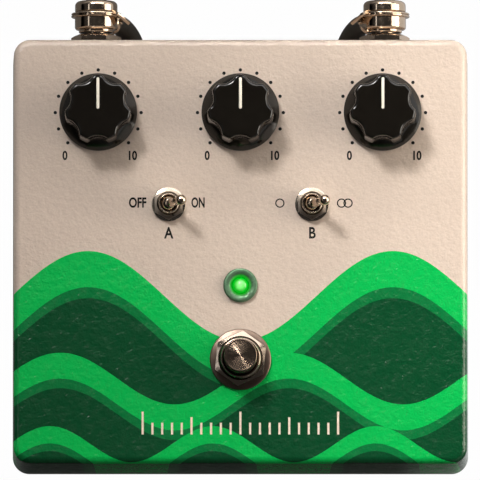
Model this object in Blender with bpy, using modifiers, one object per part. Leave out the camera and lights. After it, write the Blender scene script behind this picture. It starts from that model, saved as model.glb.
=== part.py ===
"""A compact echo pedal with a patch lead in its two jacks, in metres.

It stands on z = 0 with its origin at the middle of its footprint, jack nuts included. The stomp
switch is towards -Y and the jacks are on the +Y wall. Every driving size is named below, and every
place follows from them. Places along Y are counted from the middle of the case.
"""

import math

import bmesh
import bpy
from mathutils import Matrix, Vector

MM = 0.001

# Fits: the gap between neighbours, the overlap of shapes that become one piece, the length of cutters
GAP = 0.3 * MM
LAP = 0.5 * MM
OVERRUN = 1 * MM
MERGE = 0.005 * MM

# Counts: steps of turned pieces, of rounded corners and of small edges
KNOB_STEPS = 35
ROUND_STEPS = 22
SMALL_STEPS = 12
HOLE_SIDES = 20
NUT_STEPS = 18
CORNER_STEPS = 5
EDGE_STEPS = 3
HEX_SIDES = 6
HEX_CORNER_SHARE = 1 / math.sqrt(3)
NUT_SLOPE = math.tan(math.radians(30))

# Case
CASE_WIDTH = 132 * MM
CASE_DEPTH = 124 * MM
CASE_FORWARD = 1.5 * MM
CASE_DRAFT = 0.5 * MM
CASE_CORNER = 4.8 * MM
CASE_EDGE = 2 * MM
SHELL_HEIGHT = 29.7 * MM
WALL = 2.25 * MM
FACE_THICKNESS = 2.5 * MM

# Base cover
COVER_THICKNESS = 3 * MM
COVER_EDGE = 2.4 * MM
RIB_HEIGHT = 1.2 * MM
RIB_WIDTH = 1.5 * MM
RIB_END = 5 * MM

# Cover screws and the bosses that they turn into
SCREW_INSET = 5.9 * MM
SCREW_RADIUS = 1.5 * MM
SCREW_LENGTH = 11 * MM
SCREW_HEAD_RADIUS = 3.1 * MM
SCREW_HEAD_HEIGHT = 1.7 * MM
RECESS_WIDTH = 0.8 * MM
RECESS_LENGTH = 3.4 * MM
RECESS_DEPTH = 1.2 * MM
BOSS_RADIUS = 4 * MM
BOSS_SETBACK = 0.2 * MM

# Feet
FOOT_HEIGHT = 7.3 * MM
FOOT_RADIUS = 8 * MM
FOOT_TAPER = 0.9 * MM
FOOT_EDGE = 0.8 * MM
FOOT_INSET = 16 * MM

# Heights that follow from the stack
COVER_BOTTOM = FOOT_HEIGHT + GAP
COVER_TOP = COVER_BOTTOM + COVER_THICKNESS
SHELL_BOTTOM = COVER_TOP + GAP
FACE = SHELL_BOTTOM + SHELL_HEIGHT
CEILING = FACE - FACE_THICKNESS

# Controls on the face, set out from the walls
KNOB_SIDE_MARGIN = 24.9 * MM
KNOB_REAR_MARGIN = 21.8 * MM
TOGGLE_SPREAD = 20.7 * MM
TOGGLE_REAR_MARGIN = 48.5 * MM
LAMP_FRONT_MARGIN = 52 * MM
STOMP_FRONT_MARGIN = 30.5 * MM
KNOB_SPACING = CASE_WIDTH / 2 - KNOB_SIDE_MARGIN
KNOB_Y = CASE_DEPTH / 2 - KNOB_REAR_MARGIN
TOGGLE_Y = CASE_DEPTH / 2 - TOGGLE_REAR_MARGIN
LAMP_Y = LAMP_FRONT_MARGIN - CASE_DEPTH / 2
STOMP_Y = STOMP_FRONT_MARGIN - CASE_DEPTH / 2

# Knob
KNOB_LIFT = 0.8 * MM
KNOB_HEIGHT = 15 * MM
KNOB_CROWN = 3 * MM
KNOB_RADIUS = 9.6 * MM
KNOB_EDGE = 1.1 * MM
KNOB_FLUTES = 7
FLUTE_RADIUS = 4.6 * MM
FLUTE_FLOOR = 8.1 * MM
FLUTE_SIDES = 26
FLUTE_FOOT = 0.2 * MM
SKIRT_RADIUS = 11.25 * MM
SKIRT_RIM = 1.3 * MM
SKIRT_HEIGHT = 3.9 * MM
KNOB_RECESS_RADIUS = 7.4 * MM
KNOB_RECESS_DEPTH = 4.4 * MM
POINTER_WIDTH = 0.83 * MM
POINTER_LENGTH = 9.1 * MM
POINTER_DEPTH = 0.7 * MM
POINTER_PROUD = 0.1 * MM
GRUB_RADIUS = 1.5 * MM
GRUB_LENGTH = 4.2 * MM
GRUB_HEIGHT = 8 * MM
GRUB_SOCKET = 0.75 * MM
GRUB_SOCKET_DEPTH = 1.4 * MM

# Potentiometer
POT_RADIUS = 8.3 * MM
POT_DEPTH = 7 * MM
POT_BUSH_RADIUS = 3.5 * MM
POT_BUSH_RISE = 4 * MM
POT_EDGE = 0.6 * MM
POT_FLOOR = 1 * MM
POT_LUG_WIDTH = 11 * MM
POT_LUG_REACH = 3 * MM
POT_LUG_THICKNESS = 1.2 * MM
SHAFT_RADIUS = 3 * MM
SHAFT_RISE = KNOB_HEIGHT - KNOB_CROWN
SHAFT_EDGE = 0.5 * MM
POT_NUT_FLATS = 10 * MM
POT_NUT_HEIGHT = 2 * MM

# Toggle switch
TOGGLE_LENGTH = 12.7 * MM
TOGGLE_BODY_WIDTH = 6.9 * MM
TOGGLE_BUSH_RADIUS = 3 * MM
TOGGLE_BUSH_RISE = 4.4 * MM
TOGGLE_WASHER_RADIUS = 4.9 * MM
TOGGLE_WASHER_THICKNESS = 0.5 * MM
TOGGLE_NUT_FLATS = 8 * MM
TOGGLE_NUT_HEIGHT = 2 * MM
TOGGLE_NUT_TURN = math.radians(0)
LEVER_PIVOT = 3.5 * MM
LEVER_BALL = 2.15 * MM
LEVER_REACH = 12 * MM
LEVER_NECK = 1.05 * MM
LEVER_END = 1.6 * MM
LEVER_TAIL = 3.4 * MM
LEVER_TAIL_RADIUS = 0.8 * MM
LEVER_LEAN = math.radians(20)

# Stomp switch
STOMP_RADIUS = 4.8 * MM
STOMP_RISE = 13.7 * MM
STOMP_EDGE = 0.9 * MM
STOMP_RING_STEP = 1.1 * MM
STOMP_RING_DEPTH = 0.15 * MM
STOMP_TRAVEL = 3.5 * MM
STOMP_ROD_RADIUS = 2 * MM
STOMP_ROD_LENGTH = 11.5 * MM
STOMP_BUSH_RADIUS = 5.9 * MM
STOMP_BUSH_RISE = 6.3 * MM
STOMP_SHOULDER_RADIUS = 7.5 * MM
STOMP_SHOULDER_DROP = 3 * MM
STOMP_BODY_SIDE = 17.4 * MM
STOMP_BODY_CLEARANCE = 6.3 * MM
STOMP_BODY_EDGE = 0.8 * MM
STOMP_WASHER_RADIUS = 8.85 * MM
STOMP_WASHER_THICKNESS = 0.8 * MM
STOMP_NUT_FLATS = 14 * MM
STOMP_NUT_HEIGHT = 3 * MM
STOMP_NUT_TURN = math.radians(-5.6)
SPRING_RADIUS = 3.7 * MM
SPRING_WIRE = 0.25 * MM
SPRING_HEIGHT = 7.2 * MM
SPRING_TURNS = 5
SPRING_STEPS = 9

# Status lamp
LAMP_RADIUS = 2.5 * MM
LAMP_RISE = 2 * MM
LAMP_BASE_RADIUS = 2.9 * MM
LAMP_BASE_HEIGHT = 0.9 * MM
LAMP_LEG = 0.3 * MM
LAMP_LEG_SPACING = 2.54 * MM
BEZEL_RADIUS = 4.95 * MM
BEZEL_RISE = 1.4 * MM
BEZEL_EDGE = 0.5 * MM
BEZEL_LAND = 0.9 * MM
BEZEL_DISH = 0.9 * MM
BEZEL_BARREL_RADIUS = 3.9 * MM
BEZEL_DROP = 5.2 * MM

# Boards
BOARD_THICKNESS = 1.6 * MM
BOARD_SIDE_MARGIN = 14 * MM
BOARD_REAR_MARGIN = 9.5 * MM
BOARD_FRONT_MARGIN = 8 * MM
BOARD_CORNER = 2 * MM
CAPACITOR_RADIUS = 3.15 * MM
CAPACITOR_HEIGHT = 7 * MM
CAPACITOR_PLACES = ((-22 * MM, 24 * MM), (-13 * MM, 24 * MM), (20 * MM, 27 * MM))
SMALL_CHIP_LENGTH = 10 * MM
SMALL_CHIP_WIDTH = 4 * MM
SMALL_CHIP_HEIGHT = 1.8 * MM
SMALL_CHIP_PLACES = ((14 * MM, 6 * MM), (14 * MM, 15 * MM), (32 * MM, 2 * MM))
CHIP_LENGTH = 19.3 * MM
CHIP_WIDTH = 6.4 * MM
CHIP_HEIGHT = 3.3 * MM
CHIP_LEG_PITCH = 2.54 * MM
CHIP_LEG_WIDTH = 0.5 * MM
CHIP_LEG_REACH = 0.7 * MM
CHIP_STANDOFF = 0.5 * MM
CHIP_LEGS = 8
CHIP_X = -8 * MM
CHIP_Y = 5 * MM
HEADER_WIDTH = 10 * MM
HEADER_DEPTH = 3 * MM
HEADER_HEIGHT = 2.5 * MM
HEADER_MARGIN = 6 * MM
SWITCH_HEADER_MARGIN = 2.3 * MM
RIBBON_WIDTH = 9 * MM
RIBBON_THICKNESS = 0.9 * MM
RIBBON_STEPS = 14
RIBBON_PULL_SHARE = 0.6
SWITCH_BOARD_TONGUE = 6.6 * MM

# Jacks
JACK_SIDE_MARGIN = 24.2 * MM
JACK_DROP = 18 * MM
JACK_LENGTH = 26 * MM
JACK_WIDTH = 16 * MM
JACK_BELOW = 6 * MM
JACK_BACK = 1.2 * MM
JACK_BUSH_RADIUS = 4.5 * MM
JACK_BUSH_PROUD = 0.1 * MM
JACK_WASHER_RADIUS = 6.9 * MM
JACK_WASHER_THICKNESS = 0.4 * MM
JACK_NUT_FLATS = 12.7 * MM
JACK_NUT_HEIGHT = 2 * MM
JACK_NUT_TURN = math.radians(24)

# Power socket
SOCKET_BODY_LENGTH = 14 * MM
SOCKET_BODY_WIDTH = 9 * MM
SOCKET_BELOW = 5.2 * MM
SOCKET_ABOVE = 5.4 * MM
SOCKET_SNOUT_RADIUS = 4 * MM
SOCKET_BORE_RADIUS = 2.8 * MM
SOCKET_BORE_DEPTH = 9.5 * MM
SOCKET_PIN_RADIUS = 1 * MM

# Plugs
PLUG_RADIUS = 3.15 * MM
PLUG_LENGTH = 30 * MM
PLUG_TIP = 3.2 * MM
PLUG_TIP_NECK = 2.2 * MM
PLUG_TIP_END = 0.8 * MM
COLLAR_RADIUS = 5.05 * MM
COLLAR_LENGTH = 0.9 * MM
DRUM_RADIUS = 6.2 * MM
DRUM_LENGTH = 3.6 * MM
DRUM_EDGE = 0.4 * MM
RING_RADIUS = 7.3 * MM
RING_LENGTH = 1.3 * MM
CAP_RADIUS = 6.15 * MM
CAP_LENGTH = 3.2 * MM
CAP_EDGE = 1.2 * MM
CAP_BOSS_RADIUS = 3 * MM
CAP_BOSS_LENGTH = 0.7 * MM
SPOUT_OFFSET = 3.7 * MM
SPOUT_LENGTH = 8.7 * MM
SPOUT_CUP = 6.4 * MM
SPOUT_RADIUS = 3.4 * MM
SPOUT_ROOT_RADIUS = 2.3 * MM
SPOUT_EDGE = 0.4 * MM
SPOUT_DIP = math.radians(58)

# Patch lead: out of the left plug, down behind the case, one open loop under it and up to the right
LEAD_RADIUS = 2.925 * MM
LEAD_STEPS = 44
LEAD_ROUND_STEPS = 3
SMOOTH_STEPS = 12
LEAD_ROUTE = [
    Vector(point) * MM
    for point in (
        (-37.03, 68.9, 14.97),
        (-36.5, 68.9, 14.12),
        (-34.71, 68.46, 11.26),
        (-33.04, 67.15, 8.59),
        (-31.61, 65.08, 6.3),
        (-30.51, 62.38, 4.54),
        (-29.82, 59.23, 3.43),
        (-29.59, 55.85, 3.05),
        (-30, 48, 3.03),
        (-31.2, 39, 3.03),
        (-31.6, 30, 3.03),
        (-29.5, 21, 3.03),
        (-23.5, 13.2, 3.03),
        (-14, 8.5, 3.03),
        (-4.5, 7.2, 3.03),
        (5.5, 7.6, 3.03),
        (15, 9.8, 3.03),
        (23.8, 15, 3.03),
        (29.3, 22.5, 3.03),
        (31.3, 31, 3.03),
        (30.9, 40, 3.03),
        (30, 48.5, 3.03),
        (29.59, 55.85, 3.05),
        (29.82, 59.23, 3.43),
        (30.51, 62.38, 4.54),
        (31.61, 65.08, 6.3),
        (33.04, 67.15, 8.59),
        (34.71, 68.46, 11.26),
        (36.5, 68.9, 14.12),
        (37.03, 68.9, 14.97),
    )
]

# Places that follow from the sizes above
BOARD_TOP = CEILING - GAP - POT_DEPTH - GAP
BOARD_BOTTOM = BOARD_TOP - BOARD_THICKNESS
POT_BOTTOM = BOARD_TOP + GAP
BOARD_WIDTH = CASE_WIDTH - 2 * BOARD_SIDE_MARGIN
BOARD_REAR = CASE_DEPTH / 2 - WALL - BOARD_REAR_MARGIN
BOARD_FRONT = LAMP_Y - BOARD_FRONT_MARGIN
MAIN_HEADER_Y = BOARD_FRONT + HEADER_MARGIN
SOCKET_Z = BOARD_BOTTOM - GAP - SOCKET_ABOVE
JACK_SPREAD = CASE_WIDTH / 2 - JACK_SIDE_MARGIN
JACK_Z = FACE - JACK_DROP
WALL_Y = CASE_DEPTH / 2 - CASE_DRAFT * (JACK_Z - SHELL_BOTTOM) / SHELL_HEIGHT
JACK_FRONT = WALL_Y - WALL - GAP
JACK_END = WALL_Y + GAP + JACK_WASHER_THICKNESS + GAP + JACK_NUT_HEIGHT + JACK_BUSH_PROUD
PLUG_START = JACK_END + GAP
STOMP_BODY_TOP = CEILING - STOMP_SHOULDER_DROP
STOMP_BODY_BOTTOM = COVER_TOP + STOMP_BODY_CLEARANCE
SPRING_BOTTOM = STOMP_BODY_TOP + GAP
SWITCH_BOARD_TOP = STOMP_BODY_BOTTOM - GAP
SWITCH_BOARD_REAR = STOMP_Y + STOMP_BODY_SIDE / 2 + SWITCH_BOARD_TONGUE
SWITCH_HEADER_Y = SWITCH_BOARD_REAR - SWITCH_HEADER_MARGIN

SIDES = {"left": -1, "right": 1}
KNOB_PLACES = {"left": -1, "centre": 0, "right": 1}
CORNERS = {
    "front_left": (-1, -1),
    "front_right": (1, -1),
    "rear_left": (-1, 1),
    "rear_right": (1, 1),
}


def clear_scene():
    """Removes what a new file holds and makes the two collections."""
    for obj in list(bpy.data.objects):
        bpy.data.objects.remove(obj, do_unlink=True)
    for name in ("echo_pedal", "cutters"):
        bpy.context.scene.collection.children.link(bpy.data.collections.new(name))


def finish(name, colour, roughness, metallic=0.0):
    """A Principled material, made once for each name."""
    if name in bpy.data.materials:
        return bpy.data.materials[name]
    material = bpy.data.materials.new(name)
    material.use_nodes = True
    shader = material.node_tree.nodes["Principled BSDF"]
    shader.inputs["Base Color"].default_value = (*colour, 1)
    shader.inputs["Roughness"].default_value = roughness
    shader.inputs["Metallic"].default_value = metallic
    return material


def powder_coat():
    return finish("powder_coat", (0.66, 0.53, 0.44), 0.45)


def bare_cast():
    return finish("bare_cast", (0.42, 0.40, 0.37), 0.5, 1)


def plated_steel():
    return finish("plated_steel", (0.45, 0.42, 0.38), 0.25, 1)


def bright_nickel():
    return finish("bright_nickel", (0.62, 0.56, 0.48), 0.18, 1)


def rubber():
    return finish("rubber", (0.02, 0.02, 0.02), 0.8)


def knob_plastic():
    return finish("knob_plastic", (0.012, 0.01, 0.008), 0.3)


def pointer_ivory():
    return finish("pointer_ivory", (0.8, 0.72, 0.6), 0.5)


def housing_plastic():
    return finish("housing_plastic", (0.02, 0.02, 0.022), 0.5)


def lamp_green():
    return finish("lamp_green", (0.05, 0.8, 0.12), 0.2)


def bezel_metal():
    return finish("bezel_metal", (0.2, 0.3, 0.2), 0.3, 1)


def board_green():
    return finish("board_green", (0.02, 0.16, 0.06), 0.5)


def ribbon_grey():
    return finish("ribbon_grey", (0.35, 0.35, 0.36), 0.6)


def lead_jacket():
    return finish("lead_jacket", (0.016, 0.014, 0.012), 0.55)


def pedal_frame():
    """The empty that carries every piece, at the middle of the case on the ground."""
    if "pedal_frame" in bpy.data.objects:
        return bpy.data.objects["pedal_frame"]
    frame = bpy.data.objects.new("pedal_frame", None)
    bpy.data.collections["echo_pedal"].objects.link(frame)
    frame.location = (0, -CASE_FORWARD, 0)
    return frame


def holder(name, location, rotation=(0, 0, 0)):
    """An empty that carries the pieces of one control."""
    empty = bpy.data.objects.new(name, None)
    bpy.data.collections["echo_pedal"].objects.link(empty)
    empty.parent = pedal_frame()
    empty.location = location
    empty.rotation_euler = rotation
    return empty


def add(name, mesh, material=None, parent=None, location=(0, 0, 0), rotation=(0, 0, 0)):
    """A named piece or, with no material, a hidden cutter."""
    obj = bpy.data.objects.new(name, mesh)
    group = "echo_pedal" if material else "cutters"
    bpy.data.collections[group].objects.link(obj)
    obj.parent = parent or pedal_frame()
    obj.location = location
    obj.rotation_euler = rotation
    if material:
        mesh.materials.append(material)
    else:
        obj.hide_render = True
        obj.display_type = "WIRE"
    return obj


def to_mesh(shape, name):
    """The bmesh as a smooth mesh whose sharp edges stay sharp."""
    mesh = bpy.data.meshes.new(name)
    shape.to_mesh(mesh)
    shape.free()
    mesh.shade_smooth()
    mesh.set_sharp_from_angle(angle=math.radians(35))
    return mesh


def boolean(target, tool, operation="DIFFERENCE"):
    modifier = target.modifiers.new(tool.name, "BOOLEAN")
    modifier.operation = operation
    modifier.solver = "EXACT"
    modifier.object = tool


def turn(obj, steps):
    """Turns the profile about the piece's own Z."""
    screw = obj.modifiers.new("turn", "SCREW")
    screw.axis = "Z"
    screw.angle = math.tau
    screw.steps = steps
    screw.render_steps = steps
    screw.use_merge_vertices = True
    screw.merge_threshold = MERGE
    screw.use_smooth_shade = True
    return obj


def profile_mesh(name, points, closed=False):
    """A chain of (radius, height) points, down the outer side."""
    mesh = bpy.data.meshes.new(name)
    edges = [(i, i + 1) for i in range(len(points) - 1)]
    if closed:
        edges.append((len(points) - 1, 0))
    mesh.from_pydata([(radius, 0, height) for radius, height in points], edges, [])
    return mesh


def turned(name, points, steps, material=None, closed=False, **place):
    return turn(add(name, profile_mesh(name, points, closed), material, **place), steps)


def arc(radius, height, size, start, end, steps=EDGE_STEPS):
    """Points of a round edge about (radius, height), with angles in degrees from the horizontal."""
    angles = [math.radians(start + (end - start) * i / steps) for i in range(steps + 1)]
    return [(radius + size * math.cos(a), height + size * math.sin(a)) for a in angles]


def block_mesh(name, width, depth, bottom, top, draft=0.0, corner=0.0, edges=None):
    """A block whose top is smaller by the draft, with round upright corners and round rims.

    edges maps "top" or "bottom" to the radius of that rim.
    """
    shape = bmesh.new()
    bmesh.ops.create_cube(shape, size=1)
    for vert in shape.verts:
        inset = draft if vert.co.z > 0 else 0
        vert.co.x = math.copysign(width / 2 - inset, vert.co.x)
        vert.co.y = math.copysign(depth / 2 - inset, vert.co.y)
        vert.co.z = top if vert.co.z > 0 else bottom
    middle = (top + bottom) / 2
    if corner:
        upright = [e for e in shape.edges if (e.verts[0].co.z - middle) * (e.verts[1].co.z - middle) < 0]
        round_off(shape, upright, corner, CORNER_STEPS)
    for rim, radius in (edges or {}).items():
        level = top if rim == "top" else bottom
        around = [e for e in shape.edges if all(abs(v.co.z - level) < MERGE for v in e.verts)]
        round_off(shape, around, radius, EDGE_STEPS)
    return to_mesh(shape, name)


def round_off(shape, edges, radius, steps):
    bmesh.ops.bevel(
        shape, geom=edges, offset=radius, segments=steps, profile=0.5, affect="EDGES", material=-1
    )


def box_at(shape, low, high):
    """Adds to the bmesh a plain box between two corners."""
    made = bmesh.ops.create_cube(shape, size=1)
    for vert in made["verts"]:
        vert.co = [a if c < 0 else b for c, a, b in zip(vert.co, low, high)]


def boxes_mesh(name, corners):
    """One mesh with a box for each pair of corners."""
    shape = bmesh.new()
    for low, high in corners:
        box_at(shape, low, high)
    return to_mesh(shape, name)


def rod_at(shape, start, end, radius, sides=HOLE_SIDES, end_radius=None):
    """Adds to the bmesh a rod between two points, or a cone where it has an end radius."""
    start, end = Vector(start), Vector(end)
    rods = bmesh.ops.create_cone(
        shape,
        cap_ends=True,
        segments=sides,
        radius1=radius,
        radius2=end_radius or radius,
        depth=(end - start).length,
    )
    turn_to = (end - start).to_track_quat("Z", "Y")
    bmesh.ops.rotate(shape, verts=rods["verts"], matrix=turn_to.to_matrix(), cent=(0, 0, 0))
    bmesh.ops.translate(shape, verts=rods["verts"], vec=(start + end) / 2)


def rods_mesh(name, rods, sides=HOLE_SIDES):
    """One mesh with a rod for each (start, end, radius)."""
    shape = bmesh.new()
    for start, end, radius in rods:
        rod_at(shape, start, end, radius, sides)
    return to_mesh(shape, name)


def upright(x, y, bottom, top, radius):
    return (x, y, bottom), (x, y, top), radius


def ring_points(inner, outer, bottom, top, edge=0.0):
    """The closed profile of a washer, with its outer edges broken where it has an edge."""
    if not edge:
        return [(inner, top), (outer, top), (outer, bottom), (inner, bottom)]
    return [
        (inner, top),
        (outer - edge, top),
        (outer, top - edge),
        (outer, bottom + edge),
        (outer - edge, bottom),
        (inner, bottom),
    ]


def hex_nut(name, flats, bore, bottom, height, material, turn_by=0.0, **place):
    """A hexagon nut whose corners are turned off at both ends."""
    corners = flats * HEX_CORNER_SHARE
    top = bottom + height
    shape = bmesh.new()
    rod_at(shape, (0, 0, bottom), (0, 0, top), corners, HEX_SIDES)
    turning = Matrix.Rotation(turn_by, 3, "Z")
    bmesh.ops.rotate(shape, verts=shape.verts, cent=(0, 0, 0), matrix=turning)
    nut = add(name, to_mesh(shape, name), material, **place)
    inner = flats / 2 - height / 2
    rise = (flats / 2 - inner) * NUT_SLOPE
    drop = ((corners - flats / 2) * NUT_SLOPE + height / 2) / 2
    outer = flats / 2 + drop / NUT_SLOPE
    barrel = [
        (0, top + rise),
        (inner, top + rise),
        (outer, top - drop),
        (outer, bottom + drop),
        (inner, bottom - rise),
        (0, bottom - rise),
    ]
    boolean(nut, turned(name + "_barrel", barrel, NUT_STEPS, **place), "INTERSECT")
    ends = (0, 0, bottom - OVERRUN), (0, 0, top + OVERRUN)
    boolean(nut, add(name + "_hole", rods_mesh(name + "_hole", [(*ends, bore)], NUT_STEPS), **place))
    return nut


def screw_places():
    """Where the four cover screws stand, by corner."""
    x = CASE_WIDTH / 2 - SCREW_INSET
    y = CASE_DEPTH / 2 - SCREW_INSET
    return {corner: (sx * x, sy * y) for corner, (sx, sy) in CORNERS.items()}


def case_holes():
    """The holes that the controls, the screws, the jacks and the power socket need."""
    through = CEILING - OVERRUN, FACE + OVERRUN
    rods = [upright(k * KNOB_SPACING, KNOB_Y, *through, POT_BUSH_RADIUS + GAP) for k in KNOB_PLACES.values()]
    for side in SIDES.values():
        rods.append(upright(side * TOGGLE_SPREAD, TOGGLE_Y, *through, TOGGLE_BUSH_RADIUS + GAP))
        rods.append((*across_wall(side * JACK_SPREAD, JACK_Z), JACK_BUSH_RADIUS + GAP))
    rods.append(upright(0, LAMP_Y, *through, BEZEL_BARREL_RADIUS + GAP))
    rods.append(upright(0, STOMP_Y, *through, STOMP_BUSH_RADIUS + GAP))
    rods.append((*across_wall(0, SOCKET_Z), SOCKET_SNOUT_RADIUS + GAP))
    depth = COVER_BOTTOM + SCREW_LENGTH + OVERRUN
    for x, y in screw_places().values():
        rods.append(upright(x, y, SHELL_BOTTOM - OVERRUN, depth, SCREW_RADIUS + GAP))
    return rods_mesh("case_holes", rods)


def across_wall(x, z):
    """The two ends of a hole through the rear wall."""
    return (x, WALL_Y - WALL - 2 * OVERRUN, z), (x, WALL_Y + 2 * OVERRUN, z)


def build_case():
    outer = block_mesh(
        "case_shell", CASE_WIDTH, CASE_DEPTH, SHELL_BOTTOM, FACE, CASE_DRAFT, CASE_CORNER, {"top": CASE_EDGE}
    )
    shell = add("case_shell", outer, powder_coat())
    hollow = block_mesh(
        "case_hollow",
        CASE_WIDTH - 2 * WALL,
        CASE_DEPTH - 2 * WALL,
        SHELL_BOTTOM - OVERRUN,
        CEILING,
        CASE_DRAFT,
        CASE_CORNER - WALL,
    )
    boolean(shell, add("case_hollow", hollow))
    low, high = SHELL_BOTTOM + BOSS_SETBACK, CEILING + LAP
    bosses = [upright(x, y, low, high, BOSS_RADIUS) for x, y in screw_places().values()]
    boolean(shell, add("case_bosses", rods_mesh("case_bosses", bosses)), "UNION")
    boolean(shell, add("case_holes", case_holes()))


def cover_ribs():
    """Four low bars that locate the cover inside the walls."""
    out_x = CASE_WIDTH / 2 - WALL - 2 * GAP
    out_y = CASE_DEPTH / 2 - WALL - 2 * GAP
    end_x = CASE_WIDTH / 2 - SCREW_INSET - BOSS_RADIUS - RIB_END
    end_y = CASE_DEPTH / 2 - SCREW_INSET - BOSS_RADIUS - RIB_END
    low, high = COVER_TOP - LAP, COVER_TOP + RIB_HEIGHT
    bars = []
    for s in (-1, 1):
        xs = sorted((s * out_x, s * (out_x - RIB_WIDTH)))
        ys = sorted((s * out_y, s * (out_y - RIB_WIDTH)))
        bars.append(((xs[0], -end_y, low), (xs[1], end_y, high)))
        bars.append(((-end_x, ys[0], low), (end_x, ys[1], high)))
    return boxes_mesh("cover_ribs", bars)


def build_cover():
    plate = block_mesh(
        "base_cover",
        CASE_WIDTH,
        CASE_DEPTH,
        COVER_BOTTOM,
        COVER_TOP,
        corner=CASE_CORNER,
        edges={"bottom": COVER_EDGE},
    )
    cover = add("base_cover", plate, powder_coat())
    boolean(cover, add("cover_ribs", cover_ribs()), "UNION")
    shape = bmesh.new()
    slope = (SCREW_HEAD_RADIUS - SCREW_RADIUS) / SCREW_HEAD_HEIGHT
    for x, y in screw_places().values():
        mouth = SCREW_HEAD_RADIUS + GAP + slope * LAP
        neck = SCREW_RADIUS + GAP
        rod_at(
            shape,
            (x, y, COVER_BOTTOM - LAP),
            (x, y, COVER_BOTTOM + SCREW_HEAD_HEIGHT),
            mouth,
            end_radius=neck,
        )
    boolean(cover, add("cover_countersinks", to_mesh(shape, "cover_countersinks")))
    holes = [
        upright(x, y, COVER_BOTTOM, COVER_TOP + OVERRUN, SCREW_RADIUS + GAP)
        for x, y in screw_places().values()
    ]
    boolean(cover, add("cover_holes", rods_mesh("cover_holes", holes)))
    for corner, (x, y) in screw_places().items():
        cover_screw(corner, x, y)
    for corner, (sx, sy) in CORNERS.items():
        x = sx * (CASE_WIDTH / 2 - FOOT_INSET)
        y = sy * (CASE_DEPTH / 2 - FOOT_INSET)
        foot(corner, x, y)


def cover_screw(corner, x, y):
    points = [
        (0, COVER_BOTTOM + SCREW_LENGTH),
        (SCREW_RADIUS - LAP, COVER_BOTTOM + SCREW_LENGTH),
        (SCREW_RADIUS, COVER_BOTTOM + SCREW_LENGTH - LAP),
        (SCREW_RADIUS, COVER_BOTTOM + SCREW_HEAD_HEIGHT),
        (SCREW_HEAD_RADIUS, COVER_BOTTOM),
        (0, COVER_BOTTOM),
    ]
    name = f"cover_screw_{corner}"
    screw = turned(name, points, SMALL_STEPS, plated_steel(), location=(x, y, 0))
    low, high = COVER_BOTTOM - OVERRUN, COVER_BOTTOM + RECESS_DEPTH
    for arm, (half_x, half_y) in enumerate(
        ((RECESS_LENGTH / 2, RECESS_WIDTH / 2), (RECESS_WIDTH / 2, RECESS_LENGTH / 2))
    ):
        slot = boxes_mesh(f"{name}_slot_{arm}", [((-half_x, -half_y, low), (half_x, half_y, high))])
        boolean(screw, add(f"{name}_slot_{arm}", slot, location=(x, y, 0)))


def foot(corner, x, y):
    ground = FOOT_RADIUS - FOOT_TAPER
    points = [
        (0, FOOT_HEIGHT),
        (FOOT_RADIUS, FOOT_HEIGHT),
        (FOOT_RADIUS, FOOT_HEIGHT - FOOT_EDGE),
        (ground, FOOT_EDGE),
        (ground - FOOT_EDGE, 0),
        (0, 0),
    ]
    turned(f"foot_{corner}", points, ROUND_STEPS, rubber(), location=(x, y, 0))


def knob_points():
    """The knob's profile, from the middle of its top to the end of its bore."""
    bore = SHAFT_RADIUS + GAP
    return [
        (0, KNOB_HEIGHT),
        *arc(KNOB_RADIUS - KNOB_EDGE, KNOB_HEIGHT - KNOB_EDGE, KNOB_EDGE, 90, 0),
        (KNOB_RADIUS, SKIRT_HEIGHT),
        (SKIRT_RADIUS, KNOB_LIFT + SKIRT_RIM),
        (SKIRT_RADIUS, KNOB_LIFT),
        (KNOB_RECESS_RADIUS, KNOB_LIFT),
        (KNOB_RECESS_RADIUS, KNOB_RECESS_DEPTH),
        (bore, KNOB_RECESS_DEPTH),
        (bore, SHAFT_RISE + GAP),
        (0, SHAFT_RISE + GAP),
    ]


def flute_cutters(name):
    """The round scoops between the lobes, with a lobe under the pointer."""
    away = FLUTE_FLOOR + FLUTE_RADIUS
    rods = []
    for i in range(KNOB_FLUTES):
        angle = math.tau * (i + 0.5) / KNOB_FLUTES
        x, y = away * math.sin(angle), away * math.cos(angle)
        rods.append(upright(x, y, SKIRT_HEIGHT + FLUTE_FOOT, KNOB_HEIGHT + OVERRUN, FLUTE_RADIUS))
    return rods_mesh(name, rods, FLUTE_SIDES)


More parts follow.
